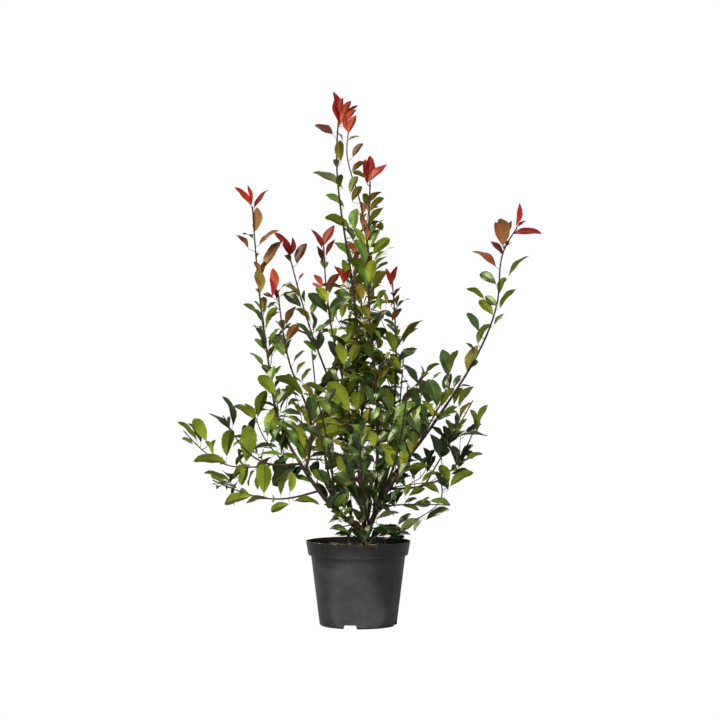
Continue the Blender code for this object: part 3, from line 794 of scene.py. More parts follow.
class Foliage:
    """Gathers the leaves by tint, and their stalks."""

    def __init__(self):
        self.leaves = {tint: [] for tint in TINTS}
        self.stalks = Pile()
        self.dice = random.Random(SEED)
        self.placed = []

    def hides_a_placed_leaf(self, point):
        """Whether a blade that passes here would stand before a placed leaf."""
        column, row = picture_places(point[None, :])[0]
        return any(
            math.hypot(column - c, row - r) < CLEARANCE and point[1] < depth + CLEARANCE_BEHIND
            for c, r, depth in self.placed
        )

    def add(self, tint, foot, base, along, up, length, ratio, curl, fold, grown):
        """Adds a leaf with its stalk, if it has room, and says whether it did."""

        def at(share):
            return base + along * length * share

        if past_the_box(base, OVERHANG) or past_the_box(base + along * length, OVERHANG):
            return False
        if grown:
            if any(in_the_sky(at(share)) for share in SKY_TESTED_AT):
                return False
            if any(self.hides_a_placed_leaf(at(share)) for share in CLEARANCE_AT):
                return False
        else:
            self.placed.append((*picture_places(at(0.5)[None, :])[0], at(0.5)[1]))
        dice = self.dice
        up = unit(up - along * up.dot(along))
        self.leaves[tint].append(
            Leaf(
                base, along, up, length, length * ratio * dice.uniform(0.93, 1.07),
                fold * dice.uniform(0.6, 1.3), curl,
                dice.uniform(-0.25, 0.25), dice.uniform(0, math.tau),
                1.0 if tint in RED_TINTS else dice.uniform(0.0, 0.6),
            )
        )
        self.add_stalk(tint, foot, base, along)
        return True

    def add_stalk(self, tint, foot, base, along):
        """A thin curve from the foot on the wood, which ends just inside the blade."""
        reach = np.linalg.norm(base - foot)
        if reach < 0.001:
            return
        leaving = unit(unit(base - foot) + 0.3 * UP) * reach
        end = base + along * 0.0015
        points = hermite_curve(foot, end, leaving, along * reach, STALK_RINGS)
        slot = 1 if tint in RED_TINTS else 0
        radii = np.linspace(*STALK_RADII, STALK_RINGS)
        add_tube(self.stalks, points, radii, STALK_SIDES, [slot] * (STALK_RINGS - 1))

    def join(self):
        """One piece for each tint in use, by tint."""
        faces, slots = blade_faces()
        made = {}
        for tint, leaves in self.leaves.items():
            if not leaves:
                continue
            pile = Pile()
            for points in blade_points(leaves):
                pile.add(points, faces, slots)
            record_slot = "red_leaves" if tint in RED_TINTS else "green_leaves"
            made[tint] = pile.joined(f"{tint}_leaves", leaf_materials(tint), record_slot)
        return made


# Leaves that show singly in the picture, by the limb that bears them: column and row of the
# blade's base and tip, tint, and how open it shows: 1 is the whole upper side, -1 the whole
# underside, 0 the edge
# Blades of the darkest tint stand as painted shade where the leaves show black
PLACED = {
    "leader_stem": (
        (338, 121, 333, 91, "scarlet", 0.6), (338, 120, 337, 96, "scarlet", -0.5),
        (340, 120, 343, 98, "salmon", -0.8), (342, 119, 358, 106, "scarlet", -0.35),
        (340, 124, 340, 107, "salmon", -0.9), (341, 120, 351, 102, "salmon", -0.7),
        (341, 123, 347, 108, "salmon", -0.9), (344, 121, 356, 110, "salmon", -0.8),
        (345, 125, 352, 113, "scarlet", 0.7), (333, 134, 315, 123, "maroon", 0.8),
        (343, 140, 336, 131, "olive", 0.4), (341, 161, 340, 142, "olive", -0.9),
        (343, 188, 313, 174, "pale", -0.4), (344, 207, 326, 194, "mid", 0.6),
        (350, 228, 326, 218, "fresh", -0.6), (355, 230, 356, 208, "mid", 0.8),
        (351, 260, 334, 242, "mid", 0.5), (353, 240, 347, 226, "dark", 0.7),
        (344, 283, 334, 266, "scarlet", -0.5), (345, 283, 351, 269, "scarlet", -0.7),
        (343, 284, 342, 270, "copper", -0.8), (347, 276, 343, 260, "mid", -0.9),
        (361, 299, 357, 281, "bronze", -0.9), (342, 318, 345, 305, "lime", -0.9),
    ),
    "front_centre_side_shoot": (
        (348, 133, 356, 116, "salmon", -0.9), (348, 132, 346, 114, "salmon", -0.6),
        (349, 132, 351, 115, "scarlet", 0.7), (349, 131, 354, 119, "scarlet", -0.8),
        (348, 140, 359, 136, "olive", 0.5), (353, 157, 363, 143, "maroon", 0.7),
        (352, 171, 363, 162, "bronze", -0.8), (350, 193, 357, 177, "pale", -0.8),
        (352, 201, 361, 187, "olive", -0.8), (363, 214, 361, 202, "copper", -0.7),
    ),
    "front_centre_stem": (
        (367, 183, 370, 155, "scarlet", 0.9), (366, 182, 365, 158, "crimson", 0.8),
        (368, 182, 387, 164, "scarlet", 0.8), (367, 178, 353, 172, "olive", -0.5),
        (367, 205, 381, 193, "bronze", -0.5), (369, 227, 383, 209, "fresh", -0.5),
        (373, 229, 383, 220, "dark", 0.3), (366, 240, 367, 228, "copper", -0.7),
        (373, 254, 389, 239, "fresh", -0.8), (374, 261, 394, 247, "mid", 0.5),
        (373, 268, 387, 257, "pale", -0.3), (365, 245, 354, 229, "fresh", -0.7),
        (366, 262, 356, 239, "mid", 0.8), (369, 283, 373, 261, "lime", -0.95),
        (366, 288, 358, 262, "mid", 0.7), (372, 288, 381, 270, "mid", 0.7),
        (374, 290, 386, 272, "olive", -0.6), (363, 299, 359, 284, "olive", -0.9),
        (370, 319, 361, 306, "olive", -0.8), (386, 305, 384, 292, "olive", -0.6),
        (363, 231, 360, 215, "copper", -0.7), (370, 248, 379, 229, "mid", 0.8),
        (369, 236, 377, 226, "pale", -0.5), (381, 310, 379, 295, "fresh", -0.8),
    ),
    "left_centre_stem": (
        (322, 248, 311, 229, "crimson", 0.7), (323, 246, 334, 225, "crimson", 0.9),
        (326, 256, 335, 240, "scarlet", -0.6), (322, 262, 317, 246, "maroon", 0.6),
        (322, 288, 312, 283, "crimson", 0.95), (323, 287, 314, 275, "salmon", -0.9),
        (328, 324, 316, 331, "mid", 0.6), (322, 284, 319, 276, "scarlet", -0.8),
        (327, 291, 340, 274, "copper", -0.7), (328, 303, 316, 288, "lime", -0.8),
        (327, 313, 309, 293, "deep", 0.7), (312, 315, 317, 300, "dark", 0.7),
        (344, 365, 338, 345, "lime", -0.9), (351, 341, 355, 320, "mid", -0.9),
        (350, 363, 358, 345, "lime", -0.9), (381, 341, 374, 330, "mid", 0.7),
        (352, 306, 340, 290, "mid", 0.8), (351, 297, 331, 309, "dark", 0.9),
        (337, 383, 329, 369, "dark", 0.9), (333, 322, 334, 307, "mid", 0.8),
    ),
    "front_left_bough": (
        (349, 411, 329, 383, "fresh", -0.95), (357, 410, 355, 392, "lime", -0.95),
        (358, 410, 361, 391, "lime", -0.95), (354, 425, 369, 432, "lime", -0.5),
        (352, 443, 342, 430, "mid", 0.6), (343, 474, 339, 456, "lime", -0.95),
        (360, 392, 368, 378, "mid", 0.8), (330, 414, 318, 398, "mid", 0.9),
        (344, 398, 335, 410, "dark", 0.8), (372, 404, 366, 386, "dark", 0.9),
        (349, 446, 360, 432, "dark", 0.8),
    ),
    "left_back_stem": (
        (290, 257, 274, 232, "crimson", 0.6), (290, 255, 292, 237, "scarlet", 0.6),
        (297, 264, 306, 243, "maroon", 0.7), (299, 280, 304, 273, "crimson", 0.6),
        (301, 307, 284, 293, "deep", 0.8), (310, 322, 297, 309, "olive", -0.5),
        (299, 297, 283, 284, "olive", 0.45), (305, 302, 304, 290, "dark", 0.6),
        (316, 326, 311, 312, "dark", 0.6), (318, 352, 309, 337, "dark", 0.5),
        (311, 341, 296, 323, "dark", 0.5), (316, 353, 304, 341, "mid", 0.5),
        (318, 350, 320, 331, "dark", 0.8), (336, 360, 329, 341, "deep", 0.7),
    ),
    "near_left_stem": (
        (275, 291, 273, 269, "salmon", -0.95), (277, 299, 270, 285, "maroon", 0.6),
        (272, 297, 270, 279, "crimson", -0.6), (281, 288, 292, 283, "olive", 0.4),
        (270, 306, 262, 310, "bronze", 0.4), (279, 312, 268, 320, "olive", -0.5),
        (277, 300, 280, 289, "crimson", 0.5), (273, 298, 263, 294, "maroon", 0.7),
        (275, 302, 268, 307, "dark", 0.6), (279, 297, 296, 292, "bronze", 0.15),
        (286, 325, 296, 307, "bronze", -0.6), (287, 341, 298, 325, "bronze", -0.8),
        (288, 349, 291, 339, "deep", 0.6), (283, 330, 275, 321, "olive", 0.5),
        (279, 329, 271, 340, "mid", 0.6), (284, 356, 274, 340, "mid", 0.9),
        (276, 302, 268, 308, "mid", 0.7), (294, 362, 305, 351, "dark", 0.4),
        (297, 374, 306, 362, "olive", 0.4), (302, 382, 312, 369, "mid", 0.4),
        (303, 396, 277, 377, "mid", -0.45), (327, 394, 306, 384, "mid", -0.45),
        (309, 426, 301, 408, "lime", -0.7), (300, 410, 289, 401, "mid", 0.4),
        (314, 420, 309, 398, "dark", 0.9), (317, 418, 330, 401, "deep", 0.7),
        (317, 422, 341, 426, "lime", -0.5), (317, 438, 344, 430, "lime", -0.8),
        (304, 447, 292, 425, "fresh", -0.7), (307, 451, 318, 433, "fresh", -0.6),
        (288, 450, 270, 433, "mid", 0.6), (303, 461, 327, 461, "fresh", -0.3),
        (301, 461, 283, 454, "fresh", -0.4), (309, 458, 329, 455, "deep", 0.4),
        (303, 460, 297, 444, "mid", 0.8), (305, 460, 311, 446, "olive", -0.7),
    ),
    "far_left_stem": (
        (251, 206, 235, 188, "scarlet", -0.5), (251, 205, 248, 186, "scarlet", -0.6),
        (254, 208, 267, 189, "crimson", 0.6), (254, 232, 257, 208, "bronze", -0.85),
        (248, 248, 237, 236, "copper", -0.5), (259, 245, 280, 230, "bronze", 0.5),
        (264, 268, 282, 241, "bronze", 0.7), (261, 292, 257, 271, "olive", -0.9),
        (262, 275, 265, 262, "bronze", -0.7), (260, 275, 254, 262, "bronze", -0.6),
        (265, 350, 254, 339, "mid", 0.7), (268, 361, 275, 346, "olive", -0.5),
        (270, 385, 274, 366, "mid", 0.8), (259, 292, 254, 277, "bronze", -0.4),
        (261, 321, 254, 309, "dark", 0.6), (266, 329, 272, 318, "mid", 0.4),
        (264, 350, 253, 325, "dark", 0.5), (263, 366, 249, 353, "mid", 0.5),
        (270, 378, 262, 365, "dark", 0.7), (271, 378, 282, 366, "dark", 0.6),
        (276, 397, 260, 376, "fresh", -0.9), (277, 405, 289, 390, "deep", 0.8),
        (277, 404, 279, 388, "dark", 0.8), (278, 405, 269, 430, "fresh", -0.95),
    ),
    "low_left_bough": (
        (233, 426, 222, 397, "dark", 0.35), (230, 430, 208, 414, "deep", 0.35),
        (227, 456, 232, 430, "mid", -0.8), (245, 459, 249, 426, "mid", -0.95),
        (249, 464, 242, 484, "mid", -0.8), (250, 465, 234, 476, "fresh", -0.7),
        (297, 463, 273, 485, "deep", 0.9), (277, 447, 253, 450, "deep", 0.4),
        (283, 455, 260, 455, "mid", 0.4), (324, 483, 313, 470, "fresh", -0.9),
        (310, 482, 296, 477, "mid", 0.6), (246, 462, 252, 453, "fresh", -0.7),
        (283, 445, 270, 431, "dark", 0.9), (297, 447, 286, 430, "mid", 0.9),
        (287, 433, 275, 419, "mid", 0.8), (300, 432, 285, 422, "deep", 0.8),
        (316, 482, 325, 500, "deep", 0.8), (323, 478, 333, 496, "deep", 0.8),
        (304, 466, 290, 480, "deep", 0.8), (292, 456, 278, 462, "dark", 0.7),
        (312, 476, 303, 468, "dark", 0.8), (244, 440, 233, 446, "mid", 0.5),
    ),
    "outer_left_spray": (
        (197, 441, 179, 422, "mid", -0.35), (201, 443, 188, 424, "dark", 0.4),
        (206, 441, 195, 419, "fresh", -0.95), (212, 452, 215, 440, "dark", 0.6),
        (193, 444, 182, 438, "mid", 0.5), (227, 463, 195, 461, "fresh", -0.6),
        (213, 455, 206, 441, "fresh", -0.6),
    ),
    "inner_left_spray": (
        (255, 420, 235, 406, "fresh", -0.6), (255, 421, 245, 404, "fresh", -0.5),
        (258, 417, 266, 391, "mid", -0.7), (268, 437, 271, 420, "mid", 0.6),
        (280, 447, 287, 430, "deep", 0.6), (273, 443, 283, 425, "dark", 0.7),
    ),
    "lowest_left_bough": (
        (231, 482, 205, 473, "mid", -0.35), (237, 488, 210, 485, "deep", 0.4),
        (251, 496, 226, 503, "fresh", -0.8), (270, 499, 247, 503, "fresh", -0.4),
        (289, 504, 272, 510, "fresh", -0.9), (294, 501, 319, 504, "mid", -0.6),
        (264, 493, 264, 464, "mid", -1.0), (290, 492, 291, 472, "fresh", -0.8),
        (281, 495, 288, 472, "mid", -0.6),
    ),
    "far_right_stem": (
        (516, 226, 519, 204, "crimson", -0.6), (517, 227, 526, 221, "scarlet", -0.7),
        (513, 234, 542, 233, "crimson", 0.7), (502, 245, 495, 223, "copper", -0.8),
        (503, 245, 500, 220, "bronze", -0.8), (504, 243, 505, 222, "bronze", -0.5),
        (505, 244, 511, 222, "copper", -0.7), (503, 255, 491, 241, "maroon", 0.7),
        (496, 267, 473, 251, "copper", 0.6), (509, 276, 528, 257, "lime", -0.45),
        (496, 284, 481, 273, "dark", 0.95), (499, 294, 505, 278, "lime", -0.8),
        (484, 299, 467, 289, "fresh", -0.5), (493, 315, 479, 301, "lime", -0.85),
        (497, 306, 486, 296, "dark", 0.95), (500, 308, 515, 290, "fresh", -0.5),
        (494, 325, 505, 314, "mid", 0.5), (479, 332, 468, 313, "dark", 0.7),
        (478, 344, 489, 325, "fresh", -0.6), (475, 351, 466, 343, "deep", 0.5),
        (467, 371, 478, 346, "olive", 0.6), (456, 389, 471, 386, "dark", 0.3),
        (459, 407, 473, 387, "fresh", -0.6), (454, 405, 462, 388, "fresh", -0.6),
        (454, 388, 462, 376, "deep", 0.6), (439, 419, 457, 407, "fresh", -0.5),
    ),
    "right_bough": (
        (448, 376, 443, 350, "dark", 0.95), (450, 372, 457, 351, "mid", -0.7),
        (444, 390, 449, 374, "deep", 0.7), (441, 407, 453, 388, "lime", -0.6),
        (437, 407, 429, 380, "dark", 0.8), (433, 417, 422, 401, "lime", -0.6),
        (449, 390, 451, 374, "deep", 0.8), (442, 419, 457, 412, "dark", 0.5),
        (443, 437, 431, 427, "deep", 0.6), (423, 463, 412, 454, "dark", 0.7),
        (426, 417, 421, 404, "dark", 0.7), (431, 463, 424, 448, "deep", 0.8),
        (421, 470, 428, 457, "dark", 0.7), (420, 433, 407, 409, "dark", 0.95),
        (412, 454, 414, 432, "lime", -0.95), (401, 469, 404, 449, "lime", -0.95),
        (393, 469, 381, 444, "lime", -0.9), (430, 434, 440, 453, "deep", 0.8),
        (427, 463, 434, 450, "deep", 0.7),
    ),
    "inner_right_spray": (
        (423, 375, 421, 366, "mid", 0.5), (426, 373, 439, 364, "mid", -0.5),
        (433, 379, 442, 373, "mid", 0.5), (428, 404, 421, 380, "deep", 0.8),
        (418, 384, 404, 365, "deep", 0.7),
    ),
    "low_right_bough": (
        (457, 466, 453, 446, "dark", 0.8), (461, 462, 473, 445, "deep", 0.5),
        (464, 462, 482, 454, "lime", -0.5), (476, 433, 471, 410, "mid", 0.5),
        (478, 425, 487, 405, "lime", -0.6), (450, 486, 472, 472, "fresh", -0.7),
        (449, 482, 440, 465, "fresh", -0.9), (448, 488, 438, 482, "deep", 0.7),
        (405, 496, 410, 484, "lime", -0.9), (420, 485, 438, 492, "fresh", -0.6),
        (427, 472, 435, 456, "dark", 0.8), (441, 483, 435, 472, "dark", 0.8),
        (409, 496, 424, 488, "mid", -0.7), (405, 503, 417, 499, "dark", 0.6),
        (448, 490, 442, 478, "dark", 0.8), (458, 468, 467, 459, "deep", 0.6),
    ),
    "low_right_spray": (
        (448, 447, 464, 426, "deep", 0.4), (460, 418, 472, 403, "olive", 0.4),
        (456, 432, 467, 419, "mid", -0.6), (452, 437, 446, 420, "dark", 0.6),
        (447, 440, 444, 426, "deep", 0.8), (452, 442, 466, 431, "mid", 0.5),
        (455, 428, 457, 413, "dark", 0.6),
    ),
    "low_right_drooping_spray": (
        (420, 519, 401, 529, "pale", -0.8), (422, 520, 414, 530, "pale", -0.6),
        (426, 520, 449, 510, "dark", 0.45),
    ),
    "lowest_right_spray": (
        (430, 501, 450, 505, "mid", 0.6), (422, 503, 429, 497, "fresh", -0.6),
        (402, 505, 419, 510, "mid", 0.5), (377, 519, 398, 512, "pale", -0.5),
    ),
    "right_centre_stem": (
        (390, 284, 386, 268, "scarlet", 0.7), (392, 284, 397, 267, "scarlet", -0.8),
        (391, 286, 393, 273, "scarlet", 0.8), (394, 297, 401, 287, "maroon", 0.6),
        (394, 299, 390, 292, "maroon", 0.4), (392, 321, 401, 309, "bronze", -0.8),
        (393, 318, 381, 311, "dark", 0.8), (395, 327, 384, 319, "mid", 0.7),
        (397, 306, 399, 295, "olive", -0.6), (391, 306, 399, 297, "maroon", 0.3),
        (397, 308, 410, 299, "dark", 0.4), (401, 342, 422, 321, "olive", -0.4),
        (403, 343, 418, 329, "olive", -0.4), (394, 353, 387, 332, "lime", -0.8),
        (397, 363, 417, 349, "dark", 0.6), (395, 386, 386, 375, "lime", -0.7),
        (392, 410, 382, 388, "lime", -0.7), (399, 384, 408, 381, "fresh", -0.5),
    ),
    "left_stem": (
        (342, 516, 324, 505, "dark", 0.4), (342, 518, 331, 511, "mid", 0.5),
        (343, 517, 351, 508, "mid", 0.6), (341, 519, 329, 523, "deep", 0.4),
        (340, 516, 345, 507, "fresh", -0.5), (349, 533, 331, 528, "mid", 0.5),
        (350, 535, 335, 535, "dark", 0.6),
    ),
    "low_front_bough": (
        (361, 478, 352, 457, "deep", 0.8), (364, 478, 371, 456, "deep", 0.7),
        (357, 464, 349, 447, "dark", 0.8), (362, 460, 370, 446, "dark", 0.8),
        (359, 450, 352, 436, "deep", 0.7), (361, 447, 367, 432, "mid", 0.8),
        (359, 440, 361, 423, "dark", 0.7), (361, 435, 352, 425, "mid", 0.5),
        (361, 435, 371, 428, "fresh", -0.7), (361, 436, 366, 420, "deep", 0.4),
        (359, 454, 348, 463, "dark", 0.6), (363, 454, 374, 462, "deep", 0.6),
        (359, 469, 350, 479, "deep", 0.7), (363, 472, 374, 480, "dark", 0.7),
        (360, 446, 370, 452, "dark", 0.5), (360, 462, 366, 473, "mid", 0.6),
        (358, 504, 351, 482, "deep", 0.8), (361, 505, 363, 483, "dark", 0.8),
        (366, 503, 372, 484, "deep", 0.6), (341, 507, 337, 483, "deep", 0.7),
        (345, 510, 346, 487, "mid", 0.8), (334, 500, 327, 480, "deep", 0.7),
        (328, 488, 319, 470, "dark", 0.7), (352, 517, 350, 500, "deep", 0.7),
        (364, 516, 359, 501, "dark", 0.7), (350, 474, 344, 454, "deep", 0.8),
        (340, 492, 328, 508, "deep", 0.8), (346, 493, 337, 507, "mid", 0.9),
        (371, 500, 361, 486, "deep", 0.6), (356, 500, 346, 482, "deep", 0.8),
        (369, 519, 369, 497, "deep", 0.8), (352, 508, 361, 521, "dark", 0.9),
        (344, 512, 333, 521, "mid", 0.6),
    ),
    "front_right_bough": (
        (374, 447, 371, 431, "lime", -0.95), (400, 474, 428, 466, "fresh", -0.4),
        (375, 401, 385, 388, "dark", 0.8), (382, 423, 374, 410, "mid", 0.8),
        (377, 443, 389, 432, "dark", 0.8), (385, 459, 376, 447, "deep", 0.8),
        (373, 469, 384, 459, "dark", 0.8), (399, 468, 392, 454, "dark", 0.8),
        (405, 454, 398, 439, "mid", 0.8), (412, 443, 404, 428, "dark", 0.8),
        (396, 484, 405, 471, "deep", 0.7), (390, 410, 383, 397, "dark", 0.8),
        (383, 424, 389, 410, "dark", 0.9), (388, 442, 400, 428, "dark", 0.8),
        (395, 420, 408, 404, "mid", 0.7), (371, 422, 379, 408, "mid", 0.9),
        (396, 485, 408, 474, "deep", 0.6), (405, 486, 396, 475, "dark", 0.8),
        (388, 505, 397, 498, "deep", 0.7), (400, 480, 411, 476, "dark", 0.5),
        (383, 505, 398, 493, "deep", 0.6), (384, 503, 381, 485, "deep", 0.7),
        (396, 504, 404, 491, "deep", 0.6), (374, 508, 391, 507, "dark", 0.4),
        (412, 478, 424, 466, "dark", 0.6), (414, 480, 407, 464, "mid", 0.6),
        (422, 482, 436, 472, "fresh", -0.5),
    ),
    "right_stem": (
        (398, 525, 411, 514, "deep", 0.7), (372, 531, 404, 534, "deep", 0.6),
        (378, 536, 410, 535, "deep", 0.5), (361, 527, 352, 520, "maroon", 0.5),
        (362, 538, 358, 524, "dark", 0.8), (359, 524, 368, 512, "deep", 0.8),
        (386, 534, 402, 531, "deep", 0.6), (366, 543, 353, 529, "deep", 0.8),
        (358, 526, 364, 537, "mid", 0.7), (371, 541, 382, 529, "deep", 0.7),
        (378, 524, 391, 533, "deep", 0.8), (367, 541, 372, 524, "deep", 0.8),
        (349, 541, 352, 527, "deep", 0.7), (388, 538, 404, 537, "deep", 0.7),
        (379, 513, 387, 496, "deep", 0.8), (373, 498, 382, 482, "dark", 0.8),
        (385, 495, 394, 480, "deep", 0.8), (391, 487, 399, 471, "dark", 0.8),
        (379, 484, 388, 469, "deep", 0.7), (371, 487, 375, 470, "deep", 0.9),
        (383, 478, 376, 462, "dark", 0.9), (376, 505, 371, 490, "deep", 0.8),
        (395, 507, 386, 497, "deep", 0.8), (390, 512, 377, 505, "dark", 0.6),
        (391, 500, 402, 489, "dark", 0.7), (399, 476, 409, 462, "deep", 0.8),
        (384, 470, 392, 456, "dark", 0.7),
    ),
}


def place_leaves(foliage, wood, limb, route, bearing):
    """Sets each placed leaf on its limb, a little in front of or behind it as its side shows."""
    dice = random.Random(f"{SEED} {limb}")
    forward = FORWARD.get(limb, 0.0)
    for column, row, end_column, end_row, tint, shown in PLACED[limb]:
        foot, away = nearest(route, column, row)
        if away > STALK_REACH:
            foot, away = nearest(bearing, column, row, foot[1])
        depth = foot[1] + forward + dice.uniform(-DEPTH_SPREAD, DEPTH_SPREAD)
        if tint == "lime" and LIMBS[limb].recipe == "core":
            depth -= LIME_FORWARD
        base = seen_at(column, row, depth)
        tip = seen_at(end_column, end_row, depth)
        flat = np.linalg.norm(tip - base)
        tip[1] += flat * math.copysign(dice.uniform(*TIP_LEAN), shown)
        along = unit(tip - base)
        up = facing(along, foot - base, shown)
        chord = np.linalg.norm(tip - base)
        curl = dice.uniform(*PLACED_CURL)
        rising = along * math.cos(curl / 2) + up * math.sin(curl / 2)
        length = chord * 1.03 * (curl / 2) / math.sin(curl / 2)
        if np.linalg.norm(base - foot) > TWIG_FROM:
            end = base - rising * 0.010
            reach = np.linalg.norm(end - foot)
            leaving = unit(unit(end - foot) - 0.35 * UP) * reach
            wood.append((hermite_curve(foot, end, leaving, rising * reach, 16), *PLACED_TWIG))
            foot = end
        ratio = YOUNG_RATIO if tint in YOUNG_TINTS else PLACED_RATIO
        foliage.add(tint, foot, base, rising, up, length, ratio, curl, PLACED_FOLD, grown=False)


def facing(along, to_foot, shown):
    """Which way the upper side of a placed blade faces, so that this much of it shows."""
    toward = unit(TOWARD - along * TOWARD.dot(along))
    over = np.cross(along, toward)
    if over[2] < -NEARLY_LEVEL or (abs(over[2]) <= NEARLY_LEVEL and over.dot(to_foot) < 0):
        over = -over
    up = toward * shown + over * math.sqrt(max(0.0, 1 - shown * shown))
    return unit(up - along * up.dot(along))


def nearest(points, column, row, depth=None):
    """The point of these that shows just under this place, near this depth, and how near it shows."""
    places = picture_places(points)
    away = np.hypot(places[:, 0] - column, places[:, 1] - row - STALK_RISE)
    apart = 0.0 if depth is None else DEPTH_WEIGHT * np.abs(points[:, 1] - depth)
    best = int(np.argmin(away + apart))
    return points[best], away[best]


def add_shown_twigs(wood, routes):
    """Each starts on the limb that shows nearest to its first end, and runs in front of the stems."""
    everywhere = np.vstack(list(routes.values()))
    half_way, all_the_way = SHOWN_TWIG_FORWARD
    made = []
    for column, row, end_column, end_row in SHOWN_TWIGS:
        foot, _ = nearest(everywhere, column, row)
        end = seen_at(end_column, end_row, foot[1] - all_the_way)
        middle_row = (row + end_row) / 2 + 1.0
        middle = seen_at((column + end_column) / 2, middle_row, foot[1] - half_way)
        made.append(smooth_route([foot, middle, end]))
        wood.append((made[-1], *SHOWN_TWIG))
    return made


# Growth


def dealt(dice, recipe):
    """A tint, as often as the recipe says."""
    names, weights = zip(*RECIPES[recipe])
    return dice.choices(names, weights)[0]


def outward_at(axis, turn):
    """The direction straight out from the axis, at this turn about it."""
    side = unit(np.cross(axis, UP if abs(axis[2]) < 0.9 else RIGHT))
    return math.cos(turn) * side + math.sin(turn) * np.cross(axis, side)


def leaf_on(foliage, dice, place, axis, turn, lean, tint, length, squeeze=1.0):
    """One leaf at a node, if it has room: turn goes round the axis, and lean is its angle from it."""
    outward = outward_at(axis, turn)
    outward = unit(outward * np.array([squeeze, 1.0, squeeze]) + 1e-6)
    outward = unit(outward - axis * outward.dot(axis))
    along = unit(axis * math.cos(lean) + outward * math.sin(lean))
    up = axis * math.sin(lean) - outward * math.cos(lean)
    up = unit(up + 0.2 * UP)
    stalk = length * dice.uniform(*STALK_SHARE)
    base = place + unit(along + 0.3 * outward) * stalk
    curl = dice.uniform(*GROWN_CURL)
    return foliage.add(
        tint, place, base, along, up, length, BLADE_RATIO, curl, GROWN_FOLD, grown=True
    )


def tip_rosette(foliage, dice, route, tints, length, count):
    """A cluster of young leaves that close round the end of a shoot, and how many found room."""
    axis = heading(route, 1.0)
    turn = dice.uniform(0, math.tau)
    kept = 0
    for _ in range(count):
        kept += leaf_on(
            foliage, dice, route[-1], axis, turn, dice.uniform(*ROSETTE_LEAN),
            dice.choice(tints), length * dice.uniform(*ROSETTE_SIZE),
        )
        turn += NODE_TURN
    return kept


def leaves_along(
    foliage, dice, route, start, end, spacing, recipe, main_tint, size, leans, squeeze=1.0
):
    """Leaves in a spiral along a shoot, smaller towards its end, and the share where the last is."""
    last = 0.0
    length = route_length(route)
    turn = dice.uniform(0, math.tau)
    share = start + dice.uniform(0, 1) * spacing / length
    while share < end:
        place = place_on(route, share)
        region = "upper" if place[2] > UPPER_FROM else recipe
        keeps_tint = region == recipe and dice.random() < MAIN_TINT_CHANCE
        tint = main_tint if keeps_tint else dealt(dice, region)
        less = 1 - YOUNG_LESS * max(0.0, (share - YOUNG_FROM) / 0.2)
        blade = dice.uniform(*BLADE_LENGTH) * size * less
        lean = math.radians(dice.uniform(*leans)) * less
        if leaf_on(foliage, dice, place, heading(route, share), turn, lean, tint, blade, squeeze):
            last = share
        turn += NODE_TURN + dice.uniform(-TURN_SPREAD, TURN_SPREAD)
        share += spacing * dice.uniform(*SPACING_SPREAD) / length
    return last


def grow_twig(foliage, wood, dice, place, axis, turn, length, recipe):
    """A short side shoot that bends upwards, as far as its leaves find room."""
    outward = outward_at(axis, turn)
    lean = math.radians(dice.uniform(*TWIG_LEAN))
    first = unit(axis * math.cos(lean) + outward * math.sin(lean))
    upward = unit(first + 0.5 * UP)
    middle = place + first * length * 0.5
    route = smooth_route([place, middle, middle + upward * length * 0.5])
    tip = route[-1]
    if past_the_box(tip, 0.0) or in_the_sky(tip) or in_the_sky(route[ROUTE_POINTS // 2]):
        return
    main_tint = dealt(dice, recipe)
    last = leaves_along(
        foliage, dice, route, *TWIG_LEAFY, TWIG_LEAF_SPACING, recipe, main_tint,
        TWIG_LEAF_SIZE, TWIG_LEAF_LEAN,
    )
    young = (main_tint, "mid", "olive") if main_tint != "deep" else ("dark", "mid")
    if tip_rosette(foliage, dice, route, young, *TWIG_ROSETTE):
        last = 1.0
    if last > 0:
        wood.append((stretch(route, 0.0, last, ROUTE_POINTS), *GROWN_TWIG))


def shown_part(name, route):
    """The route of a limb as far as its wood goes."""
    return stretch(route, 0.0, SHORTENED.get(name, 1.0), ROUTE_POINTS)


def girth_at(limb, share):
    """The half width of the mass that the limb bears at this share."""
    if not limb.girths or share < limb.bare:
        return 0.02
    index = int((share - limb.bare) / (1 - limb.bare + 1e-6) * len(limb.girths))
    return limb.girths[min(index, len(limb.girths) - 1)]


# Limbs whose placed leaves end before the solid does, and the share where their wood ends
SHORTENED = {
    "far_right_stem": 0.93, "low_left_bough": 0.86, "lowest_left_bough": 0.94, "inner_left_spray": 0.80,
    "outer_left_spray": 0.95, "low_right_bough": 0.93, "inner_right_spray": 0.90, "leader_stem": 0.94,
    "front_centre_side_shoot": 0.89, "front_centre_stem": 0.935, "left_centre_stem": 0.92,
    "left_back_stem": 0.91, "far_left_stem": 0.935, "near_left_stem": 0.89, "right_centre_stem": 0.94,
}

# Tints of the leaves that close round the ends of the limbs at the back and in front
NEW_GROWTH = {
    "tall_back_stem": ("scarlet", "crimson", "salmon"),
    "back_left_bough": ("copper", "bronze", "olive"),
    "back_right_bough": ("copper", "scarlet", "bronze"),
    "front_left_bough": ("fresh", "lime", "olive"),
    "front_right_bough": ("fresh", "olive", "lime"),
    "low_back_bough": ("fresh", "olive", "lime"),
    "low_front_bough": ("mid", "fresh"),
}


